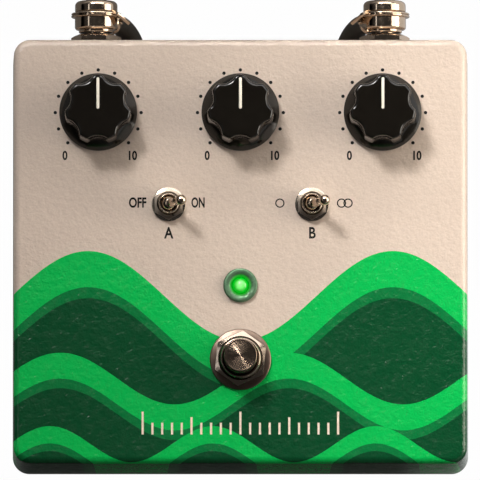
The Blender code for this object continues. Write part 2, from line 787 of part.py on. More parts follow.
def build_knob(place, x):
    """A knob with its pointer, grub screw and shaft, on one turning axis."""
    control = holder(f"control_{place}", (x, KNOB_Y, FACE))
    knob = turned(f"knob_{place}", knob_points(), KNOB_STEPS, knob_plastic(), parent=control)
    name = f"flutes_{place}"
    boolean(knob, add(name, flute_cutters(name), parent=control))

    half = POINTER_WIDTH / 2
    floor = KNOB_HEIGHT - POINTER_DEPTH - GAP
    groove = (
        (-half - GAP, -half - GAP, floor),
        (half + GAP, KNOB_RADIUS + OVERRUN, KNOB_HEIGHT + OVERRUN),
    )
    name = f"groove_{place}"
    boolean(knob, add(name, boxes_mesh(name, [groove]), parent=control))
    name = f"grub_hole_{place}"
    hole = (0, -SHAFT_RADIUS / 2, GRUB_HEIGHT), (0, -KNOB_RADIUS - OVERRUN, GRUB_HEIGHT)
    boolean(knob, add(name, rods_mesh(name, [(*hole, GRUB_RADIUS + GAP)], SMALL_STEPS), parent=control))

    bar = block_mesh(
        f"pointer_{place}",
        POINTER_WIDTH,
        POINTER_LENGTH,
        KNOB_HEIGHT - POINTER_DEPTH,
        KNOB_HEIGHT + POINTER_PROUD,
        corner=half - MERGE,
    )
    middle = POINTER_LENGTH / 2 - half
    add(f"pointer_{place}", bar, pointer_ivory(), parent=control, location=(0, middle, 0))
    grub_screw(place, control)
    bottom = POT_BOTTOM + POT_FLOOR + GAP - FACE
    points = [
        (0, SHAFT_RISE),
        (SHAFT_RADIUS - SHAFT_EDGE, SHAFT_RISE),
        (SHAFT_RADIUS, SHAFT_RISE - SHAFT_EDGE),
        (SHAFT_RADIUS, bottom),
        (0, bottom),
    ]
    turned(f"pot_shaft_{place}", points, SMALL_STEPS, plated_steel(), parent=control)


def grub_screw(place, control):
    """The headless screw on the side away from the pointer."""
    edge = GRUB_SOCKET / 2
    points = [
        (0, GRUB_LENGTH),
        (GRUB_RADIUS - edge, GRUB_LENGTH),
        (GRUB_RADIUS, GRUB_LENGTH - edge),
        (GRUB_RADIUS, edge),
        (GRUB_RADIUS - edge, 0),
        (0, 0),
    ]
    stand = {
        "parent": control,
        "location": (0, -SHAFT_RADIUS - GAP, GRUB_HEIGHT),
        "rotation": (math.radians(90), 0, 0),
    }
    name = f"grub_screw_{place}"
    screw = turned(name, points, SMALL_STEPS, plated_steel(), **stand)
    ends = (0, 0, GRUB_LENGTH - GRUB_SOCKET_DEPTH), (0, 0, GRUB_LENGTH + OVERRUN)
    socket = rods_mesh(f"{name}_socket", [(*ends, GRUB_SOCKET)], HEX_SIDES)
    boolean(screw, add(f"{name}_socket", socket, **stand))


def build_pot(place, x):
    """The can with its bush and lugs, and the nut on the face."""
    bore = SHAFT_RADIUS + GAP
    top = CEILING - GAP
    points = [
        (0, POT_BOTTOM + POT_FLOOR),
        (bore, POT_BOTTOM + POT_FLOOR),
        (bore, FACE + POT_BUSH_RISE),
        (POT_BUSH_RADIUS, FACE + POT_BUSH_RISE),
        (POT_BUSH_RADIUS, top),
        (POT_RADIUS - POT_EDGE, top),
        (POT_RADIUS, top - POT_EDGE),
        (POT_RADIUS, POT_BOTTOM),
        (0, POT_BOTTOM),
    ]
    stand = {"location": (x, KNOB_Y, 0)}
    pot = turned(f"pot_body_{place}", points, ROUND_STEPS, bare_cast(), **stand)
    inner = POT_RADIUS - POT_LUG_REACH
    lugs = (
        (-POT_LUG_WIDTH / 2, -POT_RADIUS - POT_LUG_REACH, POT_BOTTOM + POT_FLOOR),
        (POT_LUG_WIDTH / 2, -inner, POT_BOTTOM + POT_FLOOR + POT_LUG_THICKNESS),
    )
    name = f"pot_lugs_{place}"
    boolean(pot, add(name, boxes_mesh(name, [lugs]), **stand), "UNION")
    hex_nut(
        f"pot_nut_{place}",
        POT_NUT_FLATS,
        POT_BUSH_RADIUS + GAP,
        FACE + GAP,
        POT_NUT_HEIGHT,
        plated_steel(),
        **stand,
    )


def lever_points():
    """The bat lever along its own axis: tip, taper, ball and tail, about the ball's middle."""
    neck = math.degrees(math.acos(LEVER_NECK / LEVER_BALL))
    tail = math.degrees(math.acos(LEVER_TAIL_RADIUS / LEVER_BALL))
    return [
        *arc(0, LEVER_REACH - LEVER_END, LEVER_END, 90, 0, EDGE_STEPS + 1),
        *arc(0, 0, LEVER_BALL, neck, -tail, 2 * EDGE_STEPS),
        (LEVER_TAIL_RADIUS, -LEVER_TAIL),
        (0, -LEVER_TAIL),
    ]


def build_toggle(place, x):
    """A mini toggle switch, its lever at the right stop."""
    pivot = FACE + LEVER_PIVOT
    tilt = holder(f"toggle_{place}", (x, TOGGLE_Y, pivot), (0, LEVER_LEAN, 0))
    turned(f"toggle_lever_{place}", lever_points(), SMALL_STEPS + 4, bright_nickel(), parent=tilt)

    stand = {"location": (x, TOGGLE_Y, 0)}
    half_x, half_y = TOGGLE_LENGTH / 2, TOGGLE_BODY_WIDTH / 2
    top = CEILING - GAP
    case = boxes_mesh(
        f"toggle_body_{place}", [((-half_x, -half_y, BOARD_TOP + GAP), (half_x, half_y, top))]
    )
    body = add(f"toggle_body_{place}", case, plated_steel(), **stand)
    name = f"toggle_bush_{place}"
    rise = FACE + TOGGLE_BUSH_RISE
    bush = rods_mesh(name, [upright(0, 0, top - LAP, rise, TOGGLE_BUSH_RADIUS)])
    boolean(body, add(name, bush, **stand), "UNION")
    name = f"toggle_bore_{place}"
    floor = pivot - LEVER_TAIL - 2 * GAP
    bore = rods_mesh(name, [upright(0, 0, floor, rise + OVERRUN, LEVER_BALL + GAP)])
    boolean(body, add(name, bore, **stand))

    washer_top = FACE + GAP + TOGGLE_WASHER_THICKNESS
    ring = ring_points(TOGGLE_BUSH_RADIUS + GAP, TOGGLE_WASHER_RADIUS, FACE + GAP, washer_top)
    turned(f"toggle_washer_{place}", ring, ROUND_STEPS, plated_steel(), closed=True, **stand)
    hex_nut(
        f"toggle_nut_{place}",
        TOGGLE_NUT_FLATS,
        TOGGLE_BUSH_RADIUS + GAP,
        washer_top + GAP,
        TOGGLE_NUT_HEIGHT,
        plated_steel(),
        turn_by=TOGGLE_NUT_TURN,
        **stand,
    )


def button_points():
    """The button with its turned rings, its stem and the rod inside the spring."""
    groove = 2 * STOMP_RING_DEPTH
    rings = []
    for i in range(1, int((STOMP_RADIUS - STOMP_EDGE) / STOMP_RING_STEP) + 1):
        middle = i * STOMP_RING_STEP - groove
        rings += [(middle, STOMP_RISE - STOMP_RING_DEPTH), (middle + groove, STOMP_RISE)]
    stem = SPRING_BOTTOM + SPRING_HEIGHT + GAP - FACE
    return [
        (0, STOMP_RISE),
        *rings,
        *arc(STOMP_RADIUS - STOMP_EDGE, STOMP_RISE - STOMP_EDGE, STOMP_EDGE, 90, 0),
        (STOMP_RADIUS, stem),
        (STOMP_ROD_RADIUS, stem),
        (STOMP_ROD_RADIUS, stem - STOMP_ROD_LENGTH),
        (0, stem - STOMP_ROD_LENGTH),
    ]


def build_stomp():
    """The stomp switch: body with its bush, washer, nut, button and spring."""
    button = holder("stomp", (0, STOMP_Y, FACE))
    turned("stomp_button", button_points(), ROUND_STEPS, bright_nickel(), parent=button)

    stand = {"location": (0, STOMP_Y, 0)}
    block = block_mesh(
        "stomp_body",
        STOMP_BODY_SIDE,
        STOMP_BODY_SIDE,
        STOMP_BODY_BOTTOM,
        STOMP_BODY_TOP,
        corner=STOMP_BODY_EDGE,
    )
    body = add("stomp_body", block, housing_plastic(), **stand)
    rise = FACE + STOMP_BUSH_RISE
    bush = [
        (0, rise),
        (STOMP_BUSH_RADIUS, rise),
        (STOMP_BUSH_RADIUS, CEILING - GAP),
        (STOMP_SHOULDER_RADIUS, CEILING - GAP),
        (STOMP_SHOULDER_RADIUS, STOMP_BODY_TOP - LAP),
        (0, STOMP_BODY_TOP - LAP),
    ]
    boolean(body, turned("stomp_bush", bush, ROUND_STEPS, **stand), "UNION")
    rod_end = SPRING_BOTTOM + SPRING_HEIGHT + GAP - STOMP_ROD_LENGTH - STOMP_TRAVEL - GAP
    bore = [
        (0, rise + OVERRUN),
        (STOMP_RADIUS + GAP, rise + OVERRUN),
        (STOMP_RADIUS + GAP, STOMP_BODY_TOP),
        (STOMP_ROD_RADIUS + GAP, STOMP_BODY_TOP),
        (STOMP_ROD_RADIUS + GAP, rod_end),
        (0, rod_end),
    ]
    boolean(body, turned("stomp_bore", bore, ROUND_STEPS, **stand))

    washer_top = FACE + GAP + STOMP_WASHER_THICKNESS
    ring = ring_points(
        STOMP_BUSH_RADIUS + GAP, STOMP_WASHER_RADIUS, FACE + GAP, washer_top, STOMP_WASHER_THICKNESS / 4
    )
    turned("stomp_washer", ring, ROUND_STEPS, plated_steel(), closed=True, **stand)
    hex_nut(
        "stomp_nut",
        STOMP_NUT_FLATS,
        STOMP_BUSH_RADIUS + GAP,
        washer_top + GAP,
        STOMP_NUT_HEIGHT,
        plated_steel(),
        turn_by=STOMP_NUT_TURN,
        **stand,
    )
    build_spring()


def build_spring():
    """The return spring: one unbroken wire whose turns rise at a steady rate."""
    count = SPRING_TURNS * SPRING_STEPS
    rise = SPRING_HEIGHT - 2 * SPRING_WIRE
    points = []
    for i in range(count + 1):
        angle = math.tau * i / SPRING_STEPS
        x, y = SPRING_RADIUS * math.cos(angle), SPRING_RADIUS * math.sin(angle)
        points.append(Vector((x, STOMP_Y + y, SPRING_BOTTOM + SPRING_WIRE + rise * i / count)))
    tube("stomp_spring", points, SPRING_WIRE, 1, plated_steel())
    apart = min(
        (points[i] - points[j]).length
        for i in range(len(points))
        for j in range(i + SPRING_STEPS // 2 + 1, len(points))
    )
    print(f"stomp_spring: least gap to itself {(apart - 2 * SPRING_WIRE) / MM:.2f} mm")


def tube(name, points, radius, resolution, material):
    """A round wire or cable through the points, with closed ends."""
    curve = bpy.data.curves.new(name, "CURVE")
    curve.dimensions = "3D"
    curve.bevel_depth = radius
    curve.bevel_resolution = resolution
    curve.use_fill_caps = True
    curve.materials.append(material)
    spline = curve.splines.new("POLY")
    spline.points.add(len(points) - 1)
    for spot, point in zip(spline.points, points):
        spot.co = (*point, 1)
    obj = bpy.data.objects.new(name, curve)
    bpy.data.collections["echo_pedal"].objects.link(obj)
    obj.parent = pedal_frame()


def build_lamp():
    """The green lamp on its legs, and the ring round it."""
    stand = {"location": (0, LAMP_Y, 0)}
    base_top = FACE - BEZEL_DROP - GAP
    base = base_top - LAMP_BASE_HEIGHT
    points = [
        *arc(0, FACE + LAMP_RISE - LAMP_RADIUS, LAMP_RADIUS, 90, 0, 2 * EDGE_STEPS),
        (LAMP_RADIUS, base_top),
        (LAMP_BASE_RADIUS, base_top),
        (LAMP_BASE_RADIUS, base),
        (0, base),
    ]
    lamp = turned("status_lamp", points, SMALL_STEPS + 8, lamp_green(), **stand)
    legs = [
        upright(s * LAMP_LEG_SPACING / 2, 0, BOARD_TOP + GAP, base + LAP, LAMP_LEG) for s in (-1, 1)
    ]
    boolean(lamp, add("lamp_legs", rods_mesh("lamp_legs", legs, SMALL_STEPS // 2), **stand), "UNION")
    bore = LAMP_RADIUS + GAP
    top = FACE + BEZEL_RISE
    ring = [
        (bore, top - BEZEL_DISH),
        (BEZEL_RADIUS - BEZEL_EDGE - BEZEL_LAND, top),
        *arc(BEZEL_RADIUS - BEZEL_EDGE, top - BEZEL_EDGE, BEZEL_EDGE, 90, 0),
        (BEZEL_RADIUS, FACE + GAP),
        (BEZEL_BARREL_RADIUS, FACE + GAP),
        (BEZEL_BARREL_RADIUS, FACE - BEZEL_DROP),
        (bore, FACE - BEZEL_DROP),
    ]
    turned("lamp_bezel", ring, ROUND_STEPS, bezel_metal(), closed=True, **stand)


def board_parts():
    """The parts soldered under the main board, as one cutter mesh that touches nothing itself."""
    shape = bmesh.new()
    root = BOARD_BOTTOM + LAP
    for x, y in CAPACITOR_PLACES:
        rod_at(shape, (x, y, root), (x, y, BOARD_BOTTOM - CAPACITOR_HEIGHT), CAPACITOR_RADIUS, SMALL_STEPS)
    for x, y in SMALL_CHIP_PLACES:
        low = (x - SMALL_CHIP_LENGTH / 2, y - SMALL_CHIP_WIDTH / 2, BOARD_BOTTOM - SMALL_CHIP_HEIGHT)
        box_at(shape, low, (x + SMALL_CHIP_LENGTH / 2, y + SMALL_CHIP_WIDTH / 2, root))
    low = (-HEADER_WIDTH / 2, MAIN_HEADER_Y - HEADER_DEPTH / 2, BOARD_BOTTOM - HEADER_HEIGHT)
    box_at(shape, low, (HEADER_WIDTH / 2, MAIN_HEADER_Y + HEADER_DEPTH / 2, root))
    return to_mesh(shape, "board_parts")


def build_boards():
    depth = BOARD_REAR - BOARD_FRONT
    plate = block_mesh(
        "main_board", BOARD_WIDTH, depth, BOARD_BOTTOM, BOARD_TOP, corner=BOARD_CORNER
    )
    main = add("main_board", plate, board_green(), location=(0, (BOARD_REAR + BOARD_FRONT) / 2, 0))
    boolean(main, add("board_parts", board_parts()), "UNION")

    front, rear = STOMP_Y - STOMP_BODY_SIDE / 2, SWITCH_BOARD_REAR
    plate = block_mesh(
        "switch_board",
        STOMP_BODY_SIDE,
        rear - front,
        SWITCH_BOARD_TOP - BOARD_THICKNESS,
        SWITCH_BOARD_TOP,
        corner=BOARD_CORNER,
    )
    small = add("switch_board", plate, board_green(), location=(0, (front + rear) / 2, 0))
    low = (-HEADER_WIDTH / 2, SWITCH_HEADER_Y - HEADER_DEPTH / 2, SWITCH_BOARD_TOP - LAP)
    high = (HEADER_WIDTH / 2, SWITCH_HEADER_Y + HEADER_DEPTH / 2, SWITCH_BOARD_TOP + HEADER_HEIGHT)
    boolean(small, add("switch_header", boxes_mesh("switch_header", [(low, high)])), "UNION")
    build_chip()
    build_ribbon()


def build_chip():
    """The delay chip under the board, with its two rows of legs."""
    seat = BOARD_BOTTOM - GAP
    top = seat - CHIP_STANDOFF
    half_x, half_y = CHIP_LENGTH / 2, CHIP_WIDTH / 2
    case = boxes_mesh("delay_chip", [((-half_x, -half_y, top - CHIP_HEIGHT), (half_x, half_y, top))])
    stand = {"location": (CHIP_X, CHIP_Y, 0)}
    chip = add("delay_chip", case, housing_plastic(), **stand)
    legs = []
    for i in range(CHIP_LEGS):
        x = (i - (CHIP_LEGS - 1) / 2) * CHIP_LEG_PITCH
        for s in (-1, 1):
            ys = sorted((s * (half_y - LAP), s * (half_y + CHIP_LEG_REACH)))
            low = (x - CHIP_LEG_WIDTH / 2, ys[0], top - CHIP_HEIGHT / 2)
            legs.append((low, (x + CHIP_LEG_WIDTH / 2, ys[1], seat)))
    boolean(chip, add("chip_legs", boxes_mesh("chip_legs", legs), **stand), "UNION")


def build_ribbon():
    """The flat cable between the two boards, bent like an S."""
    start = Vector((SWITCH_HEADER_Y, SWITCH_BOARD_TOP + HEADER_HEIGHT + GAP))
    end = Vector((MAIN_HEADER_Y, BOARD_BOTTOM - HEADER_HEIGHT - GAP))
    pull = Vector((0, (end.y - start.y) * RIBBON_PULL_SHARE))
    middle = [bend(start, start + pull, end - pull, end, i / RIBBON_STEPS) for i in range(RIBBON_STEPS + 1)]
    sides = []
    for i, point in enumerate(middle):
        along = middle[min(i + 1, RIBBON_STEPS)] - middle[max(i - 1, 0)]
        if i in (0, RIBBON_STEPS):
            along = Vector((0, 1))
        across = Vector((-along.y, along.x)).normalized() * RIBBON_THICKNESS / 2
        sides.append((point + across, point - across))
    outline = [a for a, b in sides] + [b for a, b in reversed(sides)]
    curve = bpy.data.curves.new("ribbon_cable", "CURVE")
    curve.dimensions = "2D"
    curve.fill_mode = "BOTH"
    curve.extrude = RIBBON_WIDTH / 2
    curve.materials.append(ribbon_grey())
    spline = curve.splines.new("POLY")
    spline.points.add(len(outline) - 1)
    for spot, point in zip(spline.points, outline):
        spot.co = (*point, 0, 1)
    spline.use_cyclic_u = True
    ribbon = bpy.data.objects.new("ribbon_cable", curve)
    bpy.data.collections["echo_pedal"].objects.link(ribbon)
    ribbon.parent = pedal_frame()
    ribbon.rotation_euler = (math.radians(90), 0, math.radians(90))


def bend(a, b, c, d, t):
    """A point on the Bezier curve through a and d."""
    s = 1 - t
    return a * s**3 + b * 3 * s * s * t + c * 3 * s * t * t + d * t**3


def build_jack(place, side):
    """A jack under the board, its bush through the rear wall, with washer and nut."""
    x = side * JACK_SPREAD
    low = (-JACK_WIDTH / 2, JACK_FRONT - JACK_LENGTH, JACK_Z - JACK_BELOW)
    high = (JACK_WIDTH / 2, JACK_FRONT, BOARD_BOTTOM - GAP)
    body = add(
        f"jack_body_{place}",
        boxes_mesh(f"jack_body_{place}", [(low, high)]),
        housing_plastic(),
        location=(x, 0, 0),
    )
    name = f"jack_bush_{place}"
    bush = (x, JACK_FRONT - LAP, JACK_Z), (x, JACK_END, JACK_Z)
    boolean(body, add(name, rods_mesh(name, [(*bush, JACK_BUSH_RADIUS)])), "UNION")
    name = f"jack_bore_{place}"
    bore = (x, JACK_FRONT - JACK_LENGTH + JACK_BACK, JACK_Z), (x, JACK_END + OVERRUN, JACK_Z)
    boolean(body, add(name, rods_mesh(name, [(*bore, PLUG_RADIUS + GAP)])))

    stand = rear_facing(x)
    ring = ring_points(
        JACK_BUSH_RADIUS + GAP, JACK_WASHER_RADIUS, WALL_Y + GAP, WALL_Y + GAP + JACK_WASHER_THICKNESS
    )
    turned(f"jack_washer_{place}", ring, ROUND_STEPS, plated_steel(), closed=True, **stand)
    hex_nut(
        f"jack_nut_{place}",
        JACK_NUT_FLATS,
        JACK_BUSH_RADIUS + GAP,
        WALL_Y + GAP + JACK_WASHER_THICKNESS + GAP,
        JACK_NUT_HEIGHT,
        plated_steel(),
        turn_by=-side * JACK_NUT_TURN,
        **stand,
    )


def rear_facing(x):
    """The place of a piece whose own Z runs along +Y on a jack's axis."""
    return {"location": (x, 0, JACK_Z), "rotation": (math.radians(-90), 0, 0)}


def plug_points():
    """The plug from its ring down to its tip."""
    ring = PLUG_START + COLLAR_LENGTH + DRUM_LENGTH + RING_LENGTH
    drum = ring - RING_LENGTH
    collar = drum - DRUM_LENGTH
    tip = PLUG_START - PLUG_LENGTH
    return [
        (0, ring),
        (RING_RADIUS - DRUM_EDGE, ring),
        (RING_RADIUS, ring - DRUM_EDGE),
        (RING_RADIUS, drum + DRUM_EDGE),
        (RING_RADIUS - DRUM_EDGE, drum),
        (DRUM_RADIUS, drum),
        (DRUM_RADIUS, collar + DRUM_EDGE),
        (DRUM_RADIUS - DRUM_EDGE, collar),
        (COLLAR_RADIUS, collar),
        (COLLAR_RADIUS, PLUG_START),
        (PLUG_RADIUS, PLUG_START),
        (PLUG_RADIUS, tip + 2 * PLUG_TIP),
        (PLUG_TIP_NECK, tip + PLUG_TIP + PLUG_TIP_END),
        (PLUG_RADIUS, tip + PLUG_TIP),
        (PLUG_TIP_END, tip),
        (0, tip),
    ]


def build_plug(place, side):
    """A right-angle plug in its jack, its spout dipping towards the middle, and its cap."""
    x = side * JACK_SPREAD
    stand = rear_facing(x)
    body = turned(f"plug_body_{place}", plug_points(), ROUND_STEPS, bright_nickel(), **stand)
    spout = [
        (0, SPOUT_LENGTH),
        (SPOUT_RADIUS - SPOUT_EDGE, SPOUT_LENGTH),
        (SPOUT_RADIUS, SPOUT_LENGTH - SPOUT_EDGE),
        (SPOUT_RADIUS, SPOUT_CUP + SPOUT_EDGE),
        (SPOUT_ROOT_RADIUS, SPOUT_CUP),
        (SPOUT_ROOT_RADIUS, 0),
        (0, 0),
    ]
    heading = Vector((-side * math.cos(SPOUT_DIP), 0, -math.sin(SPOUT_DIP)))
    tool = turned(
        f"spout_{place}",
        spout,
        SMALL_STEPS + 8,
        location=(x, PLUG_START + SPOUT_OFFSET, JACK_Z),
        rotation=heading.to_track_quat("Z", "Y").to_euler(),
    )
    boolean(body, tool, "UNION")

    foot_y = PLUG_START + COLLAR_LENGTH + DRUM_LENGTH + RING_LENGTH + GAP
    top = foot_y + CAP_LENGTH
    cap = [
        (0, top + CAP_BOSS_LENGTH),
        (CAP_BOSS_RADIUS - DRUM_EDGE, top + CAP_BOSS_LENGTH),
        (CAP_BOSS_RADIUS, top + CAP_BOSS_LENGTH - DRUM_EDGE),
        (CAP_BOSS_RADIUS, top),
        *arc(CAP_RADIUS - CAP_EDGE, top - CAP_EDGE, CAP_EDGE, 90, 0),
        (CAP_RADIUS, foot_y),
        (0, foot_y),
    ]
    turned(f"plug_cap_{place}", cap, ROUND_STEPS, bright_nickel(), **stand)


def build_power_socket():
    """The barrel socket under the board, flush in the rear wall."""
    low = (-SOCKET_BODY_WIDTH / 2, JACK_FRONT - SOCKET_BODY_LENGTH, SOCKET_Z - SOCKET_BELOW)
    high = (SOCKET_BODY_WIDTH / 2, JACK_FRONT, BOARD_BOTTOM - GAP)
    socket = add("power_socket", boxes_mesh("power_socket", [(low, high)]), housing_plastic())
    mouth = WALL_Y - GAP
    snout = (0, JACK_FRONT - LAP, SOCKET_Z), (0, mouth, SOCKET_Z)
    snout_mesh = rods_mesh("socket_snout", [(*snout, SOCKET_SNOUT_RADIUS)])
    boolean(socket, add("socket_snout", snout_mesh), "UNION")
    bore = (0, mouth - SOCKET_BORE_DEPTH, SOCKET_Z), (0, mouth + OVERRUN, SOCKET_Z)
    bore_mesh = rods_mesh("socket_bore", [(*bore, SOCKET_BORE_RADIUS)])
    boolean(socket, add("socket_bore", bore_mesh))
    pin = (0, mouth - SOCKET_BORE_DEPTH - LAP, SOCKET_Z), (0, mouth - LAP, SOCKET_Z)
    pin_mesh = rods_mesh("socket_pin", [(*pin, SOCKET_PIN_RADIUS)], SMALL_STEPS)
    boolean(socket, add("socket_pin", pin_mesh), "UNION")


def smooth_route(route, count):
    """Points at even steps along a smooth curve through the route's own points."""
    ends = [2 * route[0] - route[1], *route, 2 * route[-1] - route[-2]]
    fine = []
    for before, start, end, after in zip(ends, ends[1:], ends[2:], ends[3:]):
        for i in range(SMOOTH_STEPS):
            fine.append(hermite(before, start, end, after, i / SMOOTH_STEPS))
    fine.append(route[-1])
    lengths = [0.0]
    for a, b in zip(fine, fine[1:]):
        lengths.append(lengths[-1] + (b - a).length)
    points, at = [], 0
    for i in range(count):
        wanted = lengths[-1] * i / (count - 1)
        while at < len(fine) - 2 and lengths[at + 1] < wanted:
            at += 1
        share = (wanted - lengths[at]) / (lengths[at + 1] - lengths[at])
        points.append(fine[at].lerp(fine[at + 1], share))
    return points


def hermite(before, start, end, after, t):
    """A point between start and end, with a slope that heeds how far apart the points lie."""
    d0, d1, d2 = (before - start).length, (end - start).length, (after - end).length
    m0 = (end - before) * d1 / (d0 + d1)
    m1 = (after - start) * d1 / (d1 + d2)
    return (
        start * (2 * t**3 - 3 * t**2 + 1)
        + m0 * (t**3 - 2 * t**2 + t)
        + end * (3 * t**2 - 2 * t**3)
        + m1 * (t**3 - t**2)
    )


def build_lead():
    """The cable between the two plugs."""
    points = smooth_route(LEAD_ROUTE, LEAD_STEPS)
    tube("patch_lead", points, LEAD_RADIUS, LEAD_ROUND_STEPS, lead_jacket())
    length = sum((b - a).length for a, b in zip(points, points[1:]))
    print(f"patch_lead: {length / MM:.1f} mm long")


def main():
    clear_scene()
    build_case()
    build_cover()
    for place, step in KNOB_PLACES.items():
        build_knob(place, step * KNOB_SPACING)
        build_pot(place, step * KNOB_SPACING)
    for place, side in SIDES.items():
        build_toggle(place, side * TOGGLE_SPREAD)
        build_jack(place, side)
        build_plug(place, side)
    build_stomp()
    build_lamp()
    build_boards()
    build_power_socket()
    build_lead()


main()
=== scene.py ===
"""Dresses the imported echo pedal: fine shapes, finishes, printed face, patch lead, studio and camera.

The pedal's sizes are in millimetres. The helpers that make a shape, a move or a relief turn them into
metres. The studio's sizes are in metres.
"""

import logging
import math
from dataclasses import dataclass, field
from enum import Enum
from typing import Callable, Iterable, Sequence

import bmesh
import bpy
from mathutils import Matrix, Vector

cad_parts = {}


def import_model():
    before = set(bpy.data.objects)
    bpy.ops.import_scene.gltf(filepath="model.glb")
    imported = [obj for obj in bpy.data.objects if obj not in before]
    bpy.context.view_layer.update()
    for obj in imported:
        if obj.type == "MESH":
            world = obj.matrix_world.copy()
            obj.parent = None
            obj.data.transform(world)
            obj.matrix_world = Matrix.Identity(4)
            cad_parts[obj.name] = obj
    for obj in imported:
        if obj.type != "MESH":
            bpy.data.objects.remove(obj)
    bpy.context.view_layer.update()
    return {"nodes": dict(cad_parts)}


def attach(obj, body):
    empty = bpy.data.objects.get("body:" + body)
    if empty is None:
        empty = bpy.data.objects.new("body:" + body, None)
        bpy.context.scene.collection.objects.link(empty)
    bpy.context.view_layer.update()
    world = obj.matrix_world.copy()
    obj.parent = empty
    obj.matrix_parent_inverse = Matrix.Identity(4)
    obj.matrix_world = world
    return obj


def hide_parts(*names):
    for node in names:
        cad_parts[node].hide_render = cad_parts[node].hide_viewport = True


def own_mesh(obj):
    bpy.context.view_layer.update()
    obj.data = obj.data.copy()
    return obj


LOG = logging.getLogger("echo_pedal")

MM = 0.001
CASE_Y = -1.5
FACE = 40.6
KNOB_X, KNOB_Y = 41.1, 40.2
TOGGLE_X, TOGGLE_Y = 20.7, 13.5
LAMP_Y, STOMP_Y = -10.0, -31.5
JACK_X, JACK_Z = 41.8, 22.6
SIDES = {"left": -1, "right": 1}
KNOB_PLACES = {"left": -1, "centre": 0, "right": 1}
CORNERS = {"front_left": (-1, -1), "front_right": (1, -1), "rear_left": (-1, 1), "rear_right": (1, 1)}
TARNISHED = (0.55, 0.47, 0.4)

Shape = bmesh.types.BMesh
Edge = bmesh.types.BMEdge
Socket = bpy.types.NodeSocket
Point = tuple[float, float]
Spot = tuple[float, float, float]
Colour = tuple[float, float, float]


class Body(Enum):
    """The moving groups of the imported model."""

    CASE = "case"
    CONTROL = "control"
    LEVER = "lever"
    BUTTON = "button"

    def of(self, place: str) -> str:
        """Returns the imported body's name at a place."""
        return f"{self.value}_{place}"


class Cut(Enum):
    """How one shape works on another."""

    TAKE = "DIFFERENCE"
    JOIN = "UNION"
    KEEP = "INTERSECT"


# Places and shapes


def metres(point: Sequence[float]) -> Vector:
    """Returns a point in millimetres as one in metres."""
    return Vector([c * MM for c in point])


def at(x: float, y: float, z: float = 0.0) -> Matrix:
    """Returns the move to a place."""
    return Matrix.Translation((x * MM, y * MM, z * MM))


def tilted(degrees: float, axis: str) -> Matrix:
    """Returns a turn about X, Y or Z."""
    return Matrix.Rotation(math.radians(degrees), 4, axis)


def moved(shape: Shape, matrix: Matrix) -> Shape:
    """Moves a whole shape and returns it."""
    bmesh.ops.transform(shape, matrix=matrix, verts=shape.verts)
    return shape


def lathe(points: Sequence[Point], steps: int = 96, closed: bool = False) -> Shape:
    """Spins a profile about Z.

    Args:
        points: The profile as (radius, height).
        steps: How many steps the full turn has.
        closed: Whether the profile's ends are joined, as on a ring.

    Returns:
        The closed shape, its faces outwards.
    """
    shape = bmesh.new()
    verts = [shape.verts.new(metres((radius, 0, height))) for radius, height in points]
    edges = [shape.edges.new(pair) for pair in zip(verts, verts[1:])]
    if closed:
        edges.append(shape.edges.new((verts[-1], verts[0])))
    bmesh.ops.spin(
        shape,
        geom=verts + edges,
        cent=(0, 0, 0),
        axis=(0, 0, 1),
        dvec=(0, 0, 0),
        angle=math.tau,
        steps=steps,
        use_merge=True,
    )
    bmesh.ops.remove_doubles(shape, verts=shape.verts, dist=1e-7)
    bmesh.ops.recalc_face_normals(shape, faces=shape.faces)
    return shape


def arc(radius: float, height: float, size: float, start: float, end: float, steps: int = 6) -> list[Point]:
    """Returns points of a round edge about (radius, height), with angles in degrees from level."""
    angles = [math.radians(start + (end - start) * i / steps) for i in range(steps + 1)]
    return [(radius + size * math.cos(a), height + size * math.sin(a)) for a in angles]


def thread(radius: float, low: float, high: float, pitch: float = 0.5) -> list[Point]:
    """Draws the zigzag profile of a screw thread.

    Args:
        radius: Its outer radius.
        low: The height of its foot.
        high: The height of its top.
        pitch: The step from crest to crest.

    Returns:
        The profile's points, from the top down.
    """
    count = max(1, int((high - low) / pitch))
    points = [(radius - pitch * 0.3, high)]
    tooth = (0, 0.35), (0, 0.55), (0.45, 0.95)
    for i in range(count):
        top = high - (high - low) * i / count
        points += [(radius - pitch * inset, top - pitch * drop) for inset, drop in tooth]
    return points


def box(low: Sequence[float], high: Sequence[float]) -> Shape:
    """Makes a box.

    Args:
        low: Its lowest corner.
        high: Its highest corner.

    Returns:
        The box.
    """
    shape = bmesh.new()
    for vert in bmesh.ops.create_cube(shape, size=1)["verts"]:
        vert.co = metres([a if c < 0 else b for c, a, b in zip(vert.co, low, high)])
    return shape


def rod(start: Sequence[float], end: Sequence[float], radius: float, sides: int = 64) -> Shape:
    """Makes a rod.

    Args:
        start: The middle of one end.
        end: The middle of the other.
        radius: Its radius.
        sides: How many sides it has.

    Returns:
        The rod.
    """
    first, last = metres(start), metres(end)
    shape = bmesh.new()
    bmesh.ops.create_cone(
        shape,
        cap_ends=True,
        segments=sides,
        radius1=radius * MM,
        radius2=radius * MM,
        depth=(last - first).length,
    )
    turn = (last - first).to_track_quat("Z", "Y").to_matrix().to_4x4()
    return moved(shape, Matrix.Translation((first + last) / 2) @ turn)


def bevel(shape: Shape, edges: Iterable[Edge], size: float, steps: int = 3) -> Shape:
    """Rounds some edges of a shape.

    Args:
        shape: The shape.
        edges: The edges to round.
        size: The radius of the round.
        steps: How many faces the round has.

    Returns:
        The same shape.
    """
    bmesh.ops.bevel(
        shape,
        geom=list(edges),
        offset=size * MM,
        segments=steps,
        profile=0.5,
        affect="EDGES",
        material=-1,
    )
    return shape


def upright_edges(shape: Shape) -> list[Edge]:
    """Returns the edges that stand upright."""
    return [e for e in shape.edges if abs((e.verts[0].co - e.verts[1].co).normalized().z) > 0.9]


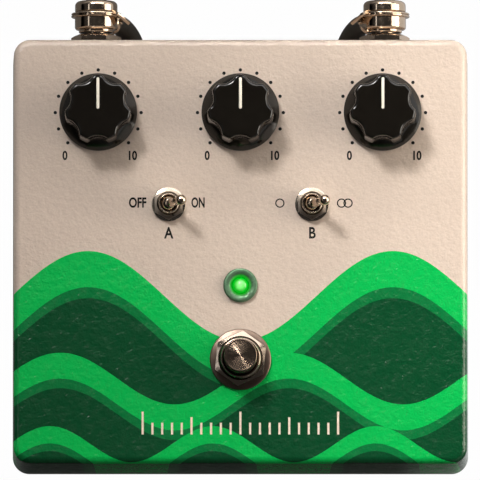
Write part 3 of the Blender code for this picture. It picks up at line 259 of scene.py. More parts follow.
def rim_edges(shape: Shape, height: float) -> list[Edge]:
    """Returns the edges that lie at one height."""
    return [e for e in shape.edges if all(abs(v.co.z - height * MM) < 1e-6 for v in e.verts)]


def new_object(name: str, data: bpy.types.ID) -> bpy.types.Object:
    """Adds an object to the scene.

    Args:
        name: Its name.
        data: What it shows.

    Returns:
        The object.
    """
    obj = bpy.data.objects.new(name, data)
    bpy.context.scene.collection.objects.link(obj)
    return obj


def mesh_of(shape: Shape, name: str = "work") -> bpy.types.Mesh:
    """Turns a shape into a mesh, and frees the shape.

    Args:
        shape: The shape.
        name: The mesh's name.

    Returns:
        The mesh.
    """
    mesh = bpy.data.meshes.new(name)
    shape.to_mesh(mesh)
    shape.free()
    return mesh


def shape_of(meshes: Iterable[bpy.types.Mesh]) -> Shape:
    """Turns meshes into one shape, and removes the meshes.

    Args:
        meshes: The meshes.

    Returns:
        The shape.
    """
    shape = bmesh.new()
    for mesh in meshes:
        shape.from_mesh(mesh)
        bpy.data.meshes.remove(mesh)
    return shape


def seen_shape(obj: bpy.types.Object) -> Shape:
    """Returns an object's shape with its modifiers."""
    seen = obj.evaluated_get(bpy.context.evaluated_depsgraph_get())
    return shape_of([bpy.data.meshes.new_from_object(seen)])


def gathered(shapes: Iterable[Shape]) -> Shape:
    """Returns one shape that holds several."""
    return shape_of(mesh_of(shape) for shape in shapes)


def combine(shape: Shape, tool: Shape, how: Cut = Cut.TAKE) -> Shape:
    """Cuts or joins a shape with another.

    Args:
        shape: What is worked on.
        tool: What works on it.
        how: Whether the tool is taken away, joined on, or keeps what it covers.

    Returns:
        The result as a new shape.
    """
    pair = []
    for part in (shape, tool):
        bmesh.ops.recalc_face_normals(part, faces=part.faces)
        pair.append(new_object("work", mesh_of(part)))
    cut = pair[0].modifiers.new("cut", "BOOLEAN")
    cut.operation, cut.solver, cut.object = how.value, "EXACT", pair[1]
    result = seen_shape(pair[0])
    for obj in pair:
        mesh = obj.data
        bpy.data.objects.remove(obj, do_unlink=True)
        bpy.data.meshes.remove(mesh)
    return result


def hex_nut(flats: float, bore: float, bottom: float, height: float, turn: float = 0.0) -> Shape:
    """Makes a hexagon nut whose top is a low cone out to its corners, with a countersunk bore.

    Args:
        flats: The width across its flats.
        bore: The radius of its bore.
        bottom: The height of its underside.
        height: How tall it is.
        turn: How far it is turned, in degrees.

    Returns:
        The nut.
    """
    corners, top = flats / math.sqrt(3), bottom + height
    shape = bmesh.new()
    bmesh.ops.create_cone(
        shape,
        cap_ends=True,
        segments=6,
        radius1=corners * MM,
        radius2=corners * MM,
        depth=height * MM,
    )
    moved(shape, at(0, 0, (top + bottom) / 2) @ tilted(turn, "Z") @ Matrix.Diagonal((1, 1, 1.4, 1)))
    reach, inner, sink = corners + 1, bore + 0.25, 0.18
    brow = top - (reach - inner) * math.tan(math.radians(23))
    barrel = [(0, top), (inner, top), (reach, brow)]
    barrel += [(reach, bottom + 0.1), (reach - 0.2, bottom), (0, bottom)]
    hole = [(0, top + 1), (bore + sink + 1, top + 1), (bore, top - sink)]
    hole += [(bore, bottom - 1), (0, bottom - 1)]
    return combine(combine(shape, lathe(barrel, 144), Cut.KEEP), lathe(hole))


# Finishes


def srgb(red: float, green: float, blue: float) -> Colour:
    """Returns a screen colour (0 to 255) as the linear colour that a shader takes."""
    shares = (red / 255, green / 255, blue / 255)
    return tuple(((c + 0.055) / 1.055) ** 2.4 if c > 10 / 255 else c / 12.92 for c in shares)


def scaled(colour: Colour, *factors: float) -> Colour:
    """Returns a colour made darker or lighter, by one factor or by one for each channel."""
    return tuple(min(1.0, c * factor) for c, factor in zip(colour, factors * 3))


class Graph:
    """The nodes of a material or of the room, written as a chain of short calls."""

    def __init__(self, owner: bpy.types.ID) -> None:
        """Opens the node tree of a new material or world.

        Args:
            owner: The material or world.
        """
        owner.use_nodes = True
        self.tree = owner.node_tree
        self.shader = self.tree.nodes.get("Principled BSDF")
        self.coordinates = self.node("ShaderNodeTexCoord").outputs
        self.place = self.coordinates["Object"]

    def node(self, kind: str, **settings: object) -> bpy.types.Node:
        """Adds a node.

        Args:
            kind: Its type.
            settings: What is set on it.

        Returns:
            The node.
        """
        made = self.tree.nodes.new(kind)
        for key, value in settings.items():
            setattr(made, key, value)
        return made

    def feed(self, socket: Socket, value: object) -> None:
        """Links or sets one input.

        Args:
            socket: The input.
            value: Another node's socket, a number or a colour.
        """
        if isinstance(value, Socket):
            self.tree.links.new(value, socket)
        elif isinstance(value, tuple) and len(value) == 3 and socket.type == "RGBA":
            socket.default_value = (*value, 1)
        else:
            socket.default_value = value

    def filled(self, made: bpy.types.Node, values: Sequence[object]) -> Socket:
        """Feeds a node's inputs in their order.

        Args:
            made: The node.
            values: What its first inputs take.

        Returns:
            Its first output.
        """
        for socket, value in zip(made.inputs, values):
            self.feed(socket, value)
        return made.outputs[0]

    def math(self, operation: str, *values: object) -> Socket:
        """Returns the outcome of a Math node on up to three values."""
        return self.filled(self.node("ShaderNodeMath", operation=operation), values)

    def noise(
        self, scale: float, detail: float = 3, rough: float = 0.5, vector: Socket | None = None
    ) -> Socket:
        """Adds a noise pattern.

        Args:
            scale: How many swells it has to the metre.
            detail: How many finer layers it has.
            rough: How strong the finer layers are.
            vector: The place that it is read at, else the plain one.

        Returns:
            The pattern.
        """
        made = self.node("ShaderNodeTexNoise")
        inputs = {"Vector": vector or self.place, "Scale": scale, "Detail": detail, "Roughness": rough}
        for key, value in inputs.items():
            self.feed(made.inputs[key], value)
        return made.outputs[0]

    def stretch(self, factors: Spot) -> Socket:
        """Returns the place scaled by three factors, for patterns that run one way."""
        return self.filled(self.node("ShaderNodeMapping"), (self.place, (0, 0, 0), (0, 0, 0), factors))

    def axes(self, place: Socket | None = None, scale: float = 1 / MM) -> list[Socket]:
        """Splits a place into its three measures.

        Args:
            place: The place, else the surface's own.
            scale: What the measures are multiplied by.

        Returns:
            The three, in millimetres unless the scale says otherwise.
        """
        split = self.node("ShaderNodeSeparateXYZ")
        self.feed(split.inputs[0], place or self.place)
        return [self.math("MULTIPLY", side, scale) for side in split.outputs]

    def away(self, centre: Point) -> Socket:
        """Returns the distance in millimetres from an upright axis."""
        sides = [self.math("SUBTRACT", side, c) for side, c in zip(self.axes(), centre)]
        return self.math("SQRT", self.math("ADD", *(self.math("MULTIPLY", side, side) for side in sides)))

    def rays(self) -> tuple[Socket, Socket]:
        """Returns whether the lens sees the surface, and whether gloss or glass does."""
        path = self.node("ShaderNodeLightPath").outputs
        return path["Is Camera Ray"], self.math("MAXIMUM", path["Is Glossy Ray"], path["Is Transmission Ray"])

    def span(
        self, value: object, low: object, high: object, to_low: object = 0, to_high: object = 1
    ) -> Socket:
        """Returns a range of values mapped to another, clamped."""
        return self.filled(self.node("ShaderNodeMapRange"), (value, low, high, to_low, to_high))

    def mix(self, share: object, first: object, second: object, blend: str = "MIX") -> Socket:
        """Mixes two colours.

        Args:
            share: The share of the second.
            first: The first colour.
            second: The second colour.
            blend: How they mix.

        Returns:
            The mixed colour.
        """
        made = self.node("ShaderNodeMix", data_type="RGBA", blend_type=blend)
        for place, value in ((0, share), (6, first), (7, second)):
            self.feed(made.inputs[place], value)
        return made.outputs[2]

    def bump(self, height: Socket, strength: float, distance: float, after: Socket | None = None) -> Socket:
        """Adds relief.

        Args:
            height: The pattern that it follows.
            strength: How much of it counts.
            distance: Its depth.
            after: Earlier relief that it lies on.

        Returns:
            The surface's normal.
        """
        made = self.node("ShaderNodeBump")
        inputs = {"Height": height, "Strength": strength, "Distance": distance * MM}
        if after is not None:
            inputs["Normal"] = after
        for key, value in inputs.items():
            self.feed(made.inputs[key], value)
        return made.outputs[0]

    def set(self, **inputs: object) -> None:
        """Feeds the shader, with underscores for the spaces in the sockets' names."""
        for key, value in inputs.items():
            self.feed(self.shader.inputs[key.replace("_", " ")], value)


@dataclass(frozen=True)
class Finish:
    """What a surface is made of.

    Attributes:
        name: The material's name.
        slot: The record's material slot; not used.
        colour: Its main colour, linear.
        roughness: How blurred its gloss is.
    """

    name: str
    slot: str
    colour: Colour
    roughness: float = 0.5

    def material(self) -> bpy.types.Material:
        """Makes the material on first use.

        Returns:
            The material.
        """
        made = bpy.data.materials.get(self.name)
        if made is None:
            made = bpy.data.materials.new(self.name)
            self.wire(Graph(made))
        return made

    def wire(self, graph: Graph) -> None:
        """Builds the nodes."""
        raise NotImplementedError

    def uneven(self, graph: Graph, cloud: Socket, down: float, up: float) -> None:
        """Lets the roughness swing by two shares about its value, as a pattern goes."""
        graph.set(Roughness=graph.span(cloud, 0.3, 0.7, self.roughness - down, self.roughness + up))


@dataclass(frozen=True)
class Wave:
    """One printed wave: a bright band, its drop shade and a dark field below."""

    mean: float
    swell: float
    length: float
    crest: float
    band: float
    shade: float


@dataclass(frozen=True)
class PowderCoat(Finish):
    """Cream powder coat with fine orange peel and green waves printed on its front half."""

    bright: Colour = srgb(4, 190, 84)
    middle: Colour = srgb(6, 120, 60)
    dark: Colour = srgb(5, 74, 40)
    waves: tuple[Wave, ...] = (
        Wave(-13.0, 13.0, 88, 44, 10.5, 3.2),
        Wave(-37.0, 7.5, 66, 14, 7.5, 2.8),
        Wave(-56.0, 5.2, 47, -8, 5.0, 2.2),
    )

    def printed(self, graph: Graph, ground: Socket) -> Socket:
        """Lays the waves over the ground colour.

        Args:
            graph: Where the nodes go.
            ground: The coat's own colour.

        Returns:
            The colour with the print.
        """
        x, y, _ = graph.axes()
        y = graph.math("SUBTRACT", y, CASE_Y)
        colour = ground
        for wave in self.waves:
            rate = math.tau / wave.length
            swing = graph.math("COSINE", graph.math("MULTIPLY_ADD", x, rate, -wave.crest * rate))
            under = graph.math("SUBTRACT", graph.math("MULTIPLY_ADD", swing, wave.swell, wave.mean), y)
            bands = (0.0, self.bright), (wave.band, self.middle), (wave.band + wave.shade, self.dark)
            for depth, paint in bands:
                colour = graph.mix(graph.math("GREATER_THAN", under, depth), colour, paint)
        return colour

    def wire(self, graph: Graph) -> None:
        """Builds the nodes: print, faint staining, peel and gloss.

        Args:
            graph: Where the nodes go.
        """
        stain = graph.span(graph.noise(28, 4), 0.35, 0.7)
        ground = graph.mix(stain, self.colour, scaled(self.colour, 0.93))
        speck = graph.span(graph.noise(2600, 2), 0.3, 0.72, 0.94, 1.04)
        graph.set(Base_Color=graph.mix(1.0, self.printed(graph, ground), speck, "MULTIPLY"))
        peel = graph.bump(graph.noise(800, 2, 0.55), 1.0, 0.2)
        graph.set(Normal=graph.bump(graph.noise(200, 2), 0.25, 0.25, peel), Specular_IOR_Level=0.5)
        self.uneven(graph, graph.noise(400), 0.05, 0.06)


@dataclass(frozen=True)
class Metal(Finish):
    """Plated metal with rubbed streaks, tarnish and a fine grain."""

    grain: float = 0.25
    tarnish: float = 0.25
    streaks: Spot = (900, 900, 160)

    def wire(self, graph: Graph) -> None:
        """Builds the nodes: tarnish, streaks and grain.

        Args:
            graph: Where the nodes go.
        """
        patch = graph.span(graph.noise(420, 4), 0.38, 0.68, 0.0, self.tarnish)
        graph.set(Base_Color=graph.mix(patch, self.colour, scaled(self.colour, *TARNISHED)), Metallic=1.0)
        rub = graph.noise(1.0, 3, 0.6, graph.stretch(self.streaks))
        graph.set(Roughness=graph.span(rub, 0.3, 0.75, self.roughness - 0.05, self.roughness + 0.12))
        graph.set(Normal=graph.bump(rub, self.grain, 0.02))


@dataclass(frozen=True)
class TurnedMetal(Finish):
    """Metal turned on a lathe about an upright axis, with the tool's fine rings."""

    centre: Point = (0.0, 0.0)
    pitch: float = 0.32
    depth: float = 0.5

    def wire(self, graph: Graph) -> None:
        """Builds the nodes: rings about the centre, and a little tarnish.

        Args:
            graph: Where the nodes go.
        """
        rings = graph.math("SINE", graph.math("MULTIPLY", graph.away(self.centre), math.tau / self.pitch))
        patch = graph.span(graph.noise(500, 4), 0.35, 0.7, 0.0, 0.35)
        graph.set(Base_Color=graph.mix(patch, self.colour, scaled(self.colour, *TARNISHED)), Metallic=1.0)
        graph.set(Roughness=self.roughness, Normal=graph.bump(rings, self.depth, 0.012))


@dataclass(frozen=True)
class Moulded(Finish):
    """Moulded plastic or rubber with a fine skin."""

    grain: float = 0.1
    scale: float = 1500
    dust: float = 0.1
    gloss: float = 0.5

    def wire(self, graph: Graph) -> None:
        """Builds the nodes: a dusty film, uneven gloss and skin.

        Args:
            graph: Where the nodes go.
        """
        film = graph.span(graph.noise(160, 5, 0.6), 0.45, 0.8, 0.0, self.dust)
        graph.set(Base_Color=graph.mix(film, self.colour, srgb(150, 140, 128)), Specular_IOR_Level=self.gloss)
        graph.set(Normal=graph.bump(graph.noise(self.scale), self.grain, 0.05))
        self.uneven(graph, graph.noise(300, 4), 0.05, 0.08)


@dataclass(frozen=True)
class KnobPlastic(Finish):
    """Glossy moulded plastic, faintly cloudy."""

    def wire(self, graph: Graph) -> None:
        """Builds the nodes: cloudiness, uneven gloss and a smooth skin.

        Args:
            graph: Where the nodes go.
        """
        cloud = graph.noise(420)
        milky = graph.span(cloud, 0.4, 0.75, 0.0, 0.5)
        graph.set(Base_Color=graph.mix(milky, self.colour, scaled(self.colour, 1.5)), Specular_IOR_Level=0.45)
        graph.set(Normal=graph.bump(graph.noise(700), 0.03, 0.04))
        self.uneven(graph, cloud, 0.02, 0.04)


@dataclass(frozen=True)
class Ink(Finish):
    """Screen-printed ink, a little uneven."""

    def wire(self, graph: Graph) -> None:
        """Builds the nodes: thin places and the paint's peel below.

        Args:
            graph: Where the nodes go.
        """
        faint = tuple(min(1, c * 1.25 + 0.004) for c in self.colour)
        graph.set(Base_Color=graph.mix(graph.span(graph.noise(1500), 0.35, 0.75), self.colour, faint))
        graph.set(Roughness=self.roughness, Specular_IOR_Level=0.15)
        graph.set(Normal=graph.bump(graph.noise(850, 2), 0.3, 0.1))


@dataclass(frozen=True)
class LampLens(Finish):
    """Green lamp plastic, lit from inside: bright over the die, dark towards its edge."""

    centre: Point = (0.0, LAMP_Y + CASE_Y)
    reach: float = 2.5

    def wire(self, graph: Graph) -> None:
        """Builds the nodes: the glow falls off from the middle of the dome.

        Args:
            graph: Where the nodes go.
        """
        share = graph.math("DIVIDE", graph.away(self.centre), self.reach)
        glow = graph.span(share, 0.86, 1.0, 1.0, 0.25)
        ripple = graph.span(graph.noise(900, 2), 0.3, 0.7, 0.85, 1.1)
        hot = graph.span(share, 0.16, 0.72, 1.0, 0.0)
        graph.set(Base_Color=graph.mix(hot, srgb(0, 110, 18), srgb(40, 210, 60)), Roughness=self.roughness)
        graph.set(Emission_Color=graph.mix(hot, srgb(0, 176, 22), srgb(165, 250, 150)))
        graph.set(Emission_Strength=graph.math("MULTIPLY", graph.math("MULTIPLY", glow, 0.92), ripple))


@dataclass(frozen=True)
class PaintedGlowBezel(Finish):
    """Dull plate whose inner slope carries a painted green glow: the lamp's light on it is painted as
    emission.
    """

    centre: Point = (0.0, LAMP_Y + CASE_Y)
    lit: float = 2.75
    unlit: float = 3.3

    def wire(self, graph: Graph) -> None:
        """Builds the nodes: a painted glow of the lamp's light fades outwards over rubbed plate.

        Args:
            graph: Where the nodes go.
        """
        # Painted glow: emission on the bezel's inner slope stands in for the lamp's light falling on it, full
        # inside lit and gone past unlit.
        lit = graph.span(graph.away(self.centre), self.lit, self.unlit, 1.0, 0.0)
        rub = graph.noise(900)
        patch = graph.span(rub, 0.35, 0.7)
        graph.set(Base_Color=graph.mix(patch, self.colour, scaled(self.colour, 0.6)), Metallic=0.6)
        graph.set(Emission_Color=srgb(0, 168, 24), Emission_Strength=graph.math("MULTIPLY", lit, 0.8))
        graph.set(Normal=graph.bump(rub, 0.15, 0.02))
        self.uneven(graph, rub, 0.05, 0.1)


@dataclass(frozen=True)
class Board(Finish):
    """Lacquered circuit board with copper runs under the green."""

    def wire(self, graph: Graph) -> None:
        """Builds the nodes: square runs of copper show through the lacquer.

        Args:
            graph: Where the nodes go.
        """
        made = graph.node("ShaderNodeTexBrick", offset=0.5, squash=1.0)
        for key, value in (("Vector", graph.place), ("Scale", 140), ("Mortar Size", 0.012)):
            graph.feed(made.inputs[key], value)
        runs = graph.math("GREATER_THAN", made.outputs["Fac"], 0.5)
        graph.set(Base_Color=graph.mix(runs, self.colour, scaled(self.colour, 1.9)), Roughness=self.roughness)
        graph.set(Normal=graph.bump(runs, 0.3, 0.03), Coat_Weight=0.4)


CREAM = srgb(222, 203, 188)
COAT = PowderCoat("printed_powder_coat", "powder_coat", CREAM, 0.2)
PLAIN_COAT = PowderCoat("plain_powder_coat", "powder_coat", CREAM, 0.2, waves=())
CAST = Metal("bare_cast_alloy", "bare_cast", srgb(168, 164, 158), 0.45, 0.5, 0.3)
STEEL = Metal("nickel_plate", "plated_steel", srgb(176, 164, 150), 0.16, 0.03, 0.12)
DARK_STEEL = Metal("dark_nickel_plate", "plated_steel", srgb(164, 150, 136), 0.13, 0.02, 0.1)
NUT_STEEL = Metal("toggle_nut_plate", "plated_steel", srgb(156, 143, 130), 0.3, 0.06, 0.15)
NICKEL = Metal("bright_nickel_plate", "bright_nickel", srgb(192, 173, 153), 0.08, 0.01, 0.12)
AXIS = (0.0, STOMP_Y + CASE_Y)
TURNED_NICKEL = TurnedMetal("turned_nickel", "bright_nickel", srgb(122, 107, 94), 0.21, AXIS)
TURNED_STEEL = TurnedMetal("turned_steel", "plated_steel", srgb(120, 104, 94), 0.3, AXIS, 0.2, 0.25)
LENS = LampLens("lit_green_lens", "lamp_green", srgb(40, 210, 60), 0.1)
BEZEL = PaintedGlowBezel("bezel_plate", "bezel_metal", srgb(96, 132, 100), 0.42)
RUBBER = Moulded("foot_rubber", "rubber", srgb(30, 29, 28), 0.75, 0.35, 900, 0.25, 0.3)
KNOB = KnobPlastic("knob_phenolic", "knob_plastic", srgb(20, 17, 13), 0.08)
IVORY = Moulded("ivory_inlay", "pointer_ivory", srgb(248, 240, 224), 0.4, 0.08, 1200, 0.05, 0.4)
HOUSING = Moulded("switch_housing", "housing_plastic", srgb(34, 34, 36), 0.5, 0.2, 1400, 0.1)
JACKET = Moulded("black_lead_rubber", "lead_jacket", srgb(32, 29, 24), 0.55, 0.2, 800, 0.03, 0.3)
RIBBON = Moulded("grey_ribbon", "ribbon_grey", srgb(150, 150, 154), 0.55, 0.2, 1200, 0.05)
BOARD = Board("circuit_board", "board_green", srgb(16, 84, 48), 0.35)
BLACK_INK = Ink("black_ink", "powder_coat", srgb(9, 8, 7), 0.6)
CREAM_INK = Ink("cream_ink", "powder_coat", srgb(238, 218, 198), 0.5)


# Pieces


@dataclass
class Assembly:
    """What every sub-assembly can do: add pieces, each with a finish, a body and the node it replaces."""

    made: list[str] = field(default_factory=list, init=False)

    def add(
        self,
        name: str,
        shape: Shape,
        finish: Finish,
        replaces: str = "",
        body: str = Body.CASE.value,
        edge: float = 0.0,
        sharp: float = 32,
        level: bool = False,
    ) -> bpy.types.Object:
        """Makes a finished piece of a shape.

        Args:
            name: The piece's name.
            shape: Its shape, in place.
            finish: Its finish.
            replaces: The node that it stands for, if any.
            body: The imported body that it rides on.
            edge: The radius that its sharp edges are broken with.
            sharp: The angle in degrees past which an edge stays sharp.
            level: Whether large flat faces keep their neighbours' shading off them.

        Returns:
            The object.
        """
        mesh = mesh_of(shape, name)
        mesh.shade_smooth()
        mesh.set_sharp_from_angle(angle=math.radians(sharp))
        obj = new_object(name, mesh)
        if edge:
            broken = obj.modifiers.new("edge", "BEVEL")
            broken.width, broken.segments = edge * MM, 2
            broken.limit_method, broken.angle_limit = "ANGLE", math.radians(sharp)
            broken.harden_normals = True
        if level:
            obj.modifiers.new("level", "WEIGHTED_NORMAL").keep_sharp = True
        self.settle(obj, finish, replaces, body)
        return obj

    def settle(self, obj: bpy.types.Object, finish: Finish, replaces: str, body: str) -> None:
        """Gives an object its finish and its body.

        Args:
            obj: The object.
            finish: Its finish.
            replaces: The node that it stands for, if any.
            body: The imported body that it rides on.
        """
        obj.data.materials.clear()
        obj.data.materials.append(finish.material())
        if replaces:
            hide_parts(replaces)
        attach(obj, body)
        self.made.append(obj.name)

    def build(self) -> None:
        """Makes all of its pieces."""
        raise NotImplementedError

    def report(self) -> None:
        """Logs what was made."""
        LOG.info("%s: %s", type(self).__name__, ", ".join(self.made) or "packed nodes only")


@dataclass
class Enclosure(Assembly):
    """The die-cast case, its cover, the cover's screws and the feet."""

    width: float = 132
    depth: float = 124
    draft: float = 0.5
    corner: float = 4.8
    rim: float = 2.0
    wall: float = 2.25
    bottom: float = 10.9
    ceiling: float = 38.1
    socket_z: float = 23.2
    cover_low: float = 7.6
    cover_high: float = 10.6
    screw_inset: float = 5.9
    tap: float = 1.8
    foot_inset: float = 16
    foot_height: float = 7.3
    foot_radius: float = 8

    def hull(self, inset: float, low: float, high: float, corner: float, rim: float = 0.0) -> Shape:
        """Makes a drafted block of the case's outline, with round corners.

        Args:
            inset: How far it lies inside the outline.
            low: The height of its underside.
            high: The height of its top.
            corner: The radius of its upright corners.
            rim: The radius of its upper rim, if it is round.

        Returns:
            The block.
        """
        half_x, half_y = self.width / 2 - inset, self.depth / 2 - inset
        shape = box((-half_x, -half_y, low), (half_x, half_y, high))
        for vert in shape.verts:
            if vert.co.z > (low + high) / 2 * MM:
                vert.co.x -= math.copysign(self.draft * MM, vert.co.x)
                vert.co.y -= math.copysign(self.draft * MM, vert.co.y)
        bevel(shape, upright_edges(shape), corner, 14)
        return bevel(shape, rim_edges(shape, high), rim, 9) if rim else shape

    def holes(self) -> Shape:
        """Makes the rods that cut the face and the rear wall.

        Returns:
            All of the rods.
        """
        bores = [(step * KNOB_X, KNOB_Y, 3.8) for step in KNOB_PLACES.values()]
        bores += [(side * TOGGLE_X, TOGGLE_Y, 3.3) for side in SIDES.values()]
        bores += [(0, LAMP_Y, 4.2), (0, STOMP_Y, 6.2)]
        rods = [rod((x, y, 36), (x, y, 43), radius) for x, y, radius in bores]
        for x, z, radius in ((-JACK_X, JACK_Z, 4.8), (JACK_X, JACK_Z, 4.8), (0, self.socket_z, 4.3)):
            rods.append(rod((x, 57, z), (x, 64, z), radius))
        return gathered(rods)

    def places(self, inset: float) -> dict[str, Point]:
        """Returns the four places a given way in from the outline, by corner."""
        x, y = self.width / 2 - inset, self.depth / 2 - inset
        return {name: (sx * x, sy * y) for name, (sx, sy) in CORNERS.items()}

    def posts(self, low: float, high: float, radius: float, sides: int) -> Shape:
        """Returns an upright rod at each of the cover's screws."""
        spots = self.places(self.screw_inset).values()
        return gathered(rod((x, y, low), (x, y, high), radius, sides) for x, y in spots)

    def shell(self) -> None:
        """Makes the painted case."""
        outer = self.hull(0, self.bottom, FACE, self.corner, self.rim)
        shape = combine(outer, self.hull(self.wall, self.bottom - 1, self.ceiling, self.corner - self.wall))
        shape = combine(shape, self.posts(self.bottom + 0.2, self.ceiling + 0.5, 4, 40), Cut.JOIN)
        shape = combine(shape, self.posts(self.bottom - 1, self.bottom + 9, self.tap, 32))
        shape = combine(shape, self.holes())
        self.add("painted_case", moved(shape, at(0, CASE_Y)), COAT, "case_shell", level=True)

    def cover(self) -> None:
        """Makes the base cover with its ribs and countersunk holes."""
        half_x, half_y, low, high = self.width / 2, self.depth / 2, self.cover_low, self.cover_high
        plate = box((-half_x, -half_y, low), (half_x, half_y, high))
        bevel(plate, upright_edges(plate), self.corner, 12)
        bevel(plate, rim_edges(plate, low), 2.4, 6)
        bars, thick, foot, top = [], 0.75, high - 0.5, high + 1.2
        for side in (-1, 1):
            x, y = side * (half_x - 3.6), side * (half_y - 3.6)
            bars.append(box((x - thick, -47.1, foot), (x + thick, 47.1, top)))
            bars.append(box((-51.1, y - thick, foot), (51.1, y + thick, top)))
        plate = combine(plate, gathered(bars), Cut.JOIN)
        tap = self.tap
        sink = [(0, high + 1), (tap, high + 1), (tap, low + 1.7), (4.0, low - 0.5), (0, low - 0.5)]
        spots = self.places(self.screw_inset).values()
        plate = combine(plate, gathered(moved(lathe(sink, 48), at(x, y)) for x, y in spots))
        self.add("cover_plate", moved(plate, at(0, CASE_Y)), PLAIN_COAT, "base_cover", level=True)

    def screws(self) -> None:
        """Makes the countersunk screws with their cross recesses."""
        low = self.cover_low
        head = [(0, low + 11), (1.0, low + 11), *thread(1.5, low + 1.9, low + 10.6)]
        head += [(1.4, low + 1.7), (3.0, low + 0.12), (2.9, low), (0, low)]
        for corner, (x, y) in self.places(self.screw_inset).items():
            screw = lathe(head, 40)
            for half_x, half_y in ((1.7, 0.4), (0.4, 1.7)):
                screw = combine(screw, box((-half_x, -half_y, low - 1), (half_x, half_y, low + 1.2)))
            self.add(f"cover_bolt_{corner}", moved(screw, at(x, y + CASE_Y)), STEEL, f"cover_screw_{corner}")

    def feet(self) -> None:
        """Makes the rubber bumper feet with dished soles."""
        radius, height = self.foot_radius, self.foot_height
        points = [(0, height), (radius - 0.3, height), (radius, height - 0.3)]
        points += [*arc(radius - 1.7, 0.8, 0.8, -8, -90), (3.2, 0), (2.9, 0.25), (2.2, 0.6), (0, 0.6)]
        for corner, (x, y) in self.places(self.foot_inset).items():
            foot = moved(lathe(points, 72), at(x, y + CASE_Y))
            self.add(f"bumper_{corner}", foot, RUBBER, f"foot_{corner}")

    def build(self) -> None:
        """Makes all of it."""
        for part in (self.shell, self.cover, self.screws, self.feet):
            part()


@dataclass
class PrintedFace(Assembly):
    """The dials' dots, plain switch marks and the scale printed on the face."""

    lift: float = 0.02
    dot: float = 0.5
    dial: float = 12.4
    dots: int = 13
    digit: float = 2.5
    digit_drop: float = 12.6
    ring: float = 1.35
    ring_width: float = 0.36
    level: float = 13.9
    ticks: int = 21
    tick_step: float = 2.82
    tick_foot: float = -53.2
    tick_width: float = 0.62

    def disc(self, x: float, y: float) -> Shape:
        """Makes one dot of a dial.

        Args:
            x: Its middle from side to side.
            y: Its middle from front to rear.

        Returns:
            The dot.
        """
        shape = bmesh.new()
        bmesh.ops.create_circle(shape, cap_ends=True, segments=24, radius=self.dot * MM)
        return moved(shape, at(x, y))

    def circle(self, x: float, y: float) -> Shape:
        """Makes a flat ring.

        Args:
            x: Its middle from side to side.
            y: Its middle from front to rear.

        Returns:
            The ring.
        """
        shape = bmesh.new()
        bmesh.ops.create_circle(shape, cap_ends=False, segments=48, radius=self.ring * MM)
        made = bmesh.ops.extrude_edge_only(shape, edges=shape.edges)["geom"]
        verts = [g for g in made if isinstance(g, bmesh.types.BMVert)]
        bmesh.ops.scale(shape, vec=[(self.ring - self.ring_width) / self.ring] * 2 + [1], verts=verts)
        bmesh.ops.recalc_face_normals(shape, faces=shape.faces)
        return moved(shape, at(x, y))

    def words(self, text: str, x: float, y: float, height: float, squeeze: float = 0.8) -> Shape:
        """Makes flat lettering.

        Args:
            text: What it says.
            x: Its middle from side to side.
            y: Its middle from front to rear.
            height: The capitals' height.
            squeeze: How narrow the letters are.

        Returns:
            The lettering.
        """
        curve = bpy.data.curves.new("words", "FONT")
        curve.body, curve.size, curve.offset = text, height * MM / 0.70, 0.12 * MM
        curve.align_x = curve.align_y = "CENTER"
        curve.resolution_u = 6
        obj = new_object("words", curve)
        shape = seen_shape(obj)
        bpy.data.objects.remove(obj, do_unlink=True)
        bpy.data.curves.remove(curve)
        return moved(shape, at(x, y) @ Matrix.Diagonal((squeeze, 1, 1, 1)))

    def bar(self, x: float, y: float, width: float, height: float) -> Shape:
        """Makes a flat bar.

        Args:
            x: Its middle from side to side.
            y: Its middle from front to rear.
            width: How wide it is.
            height: How tall it is.

        Returns:
            The bar.
        """
        shape = bmesh.new()
        bmesh.ops.create_grid(shape, x_segments=1, y_segments=1, size=0.5)
        return moved(shape, at(x, y) @ Matrix.Diagonal((width * MM, height * MM, 1, 1)))

    def lay(self, name: str, parts: list[Shape], ink: Ink) -> None:
        """Lays flat parts on the face as one piece, printed side up.

        Args:
            name: The piece's name.
            parts: The flat parts.
            ink: Their ink.
        """
        whole = gathered(parts)
        for face in whole.faces:
            if face.normal.z < 0:
                face.normal_flip()
        self.add(name, moved(whole, at(0, CASE_Y, FACE + self.lift)), ink)

    def build(self) -> None:
        """Prints the black marks and the cream scale."""
        black = []
        for place in KNOB_PLACES.values():
            x, y = place * KNOB_X, KNOB_Y
            for i in range(self.dots):
                angle = math.radians(-135 + 270 * i / (self.dots - 1))
                black.append(self.disc(x + self.dial * math.sin(angle), y + self.dial * math.cos(angle)))
            black.append(self.words("0", x - 9.6, y - self.digit_drop, self.digit))
            black.append(self.words("10", x + 9.8, y - self.digit_drop, self.digit))
        black.append(self.words("OFF", -29.7, self.level, 2.8, 0.72))
        black.append(self.words("ON", -12.2, self.level, 2.8, 0.62))
        black += [self.circle(x, self.level) for x in (11.4, 29.2, 31.1)]
        black += [self.words(text, side * TOGGLE_X, 5.1, 3.2) for text, side in (("A", -1), ("B", 1))]
        self.lay("black_marks", black, BLACK_INK)
        scale = []
        for i in range(self.ticks):
            tall = 6.6 if i % 10 == 0 else 5.0 if i % 5 == 0 else 3.4
            x = (i - self.ticks // 2) * self.tick_step
            scale.append(self.bar(x, self.tick_foot + tall / 2, self.tick_width, tall))
        self.lay("cream_scale", scale, CREAM_INK)


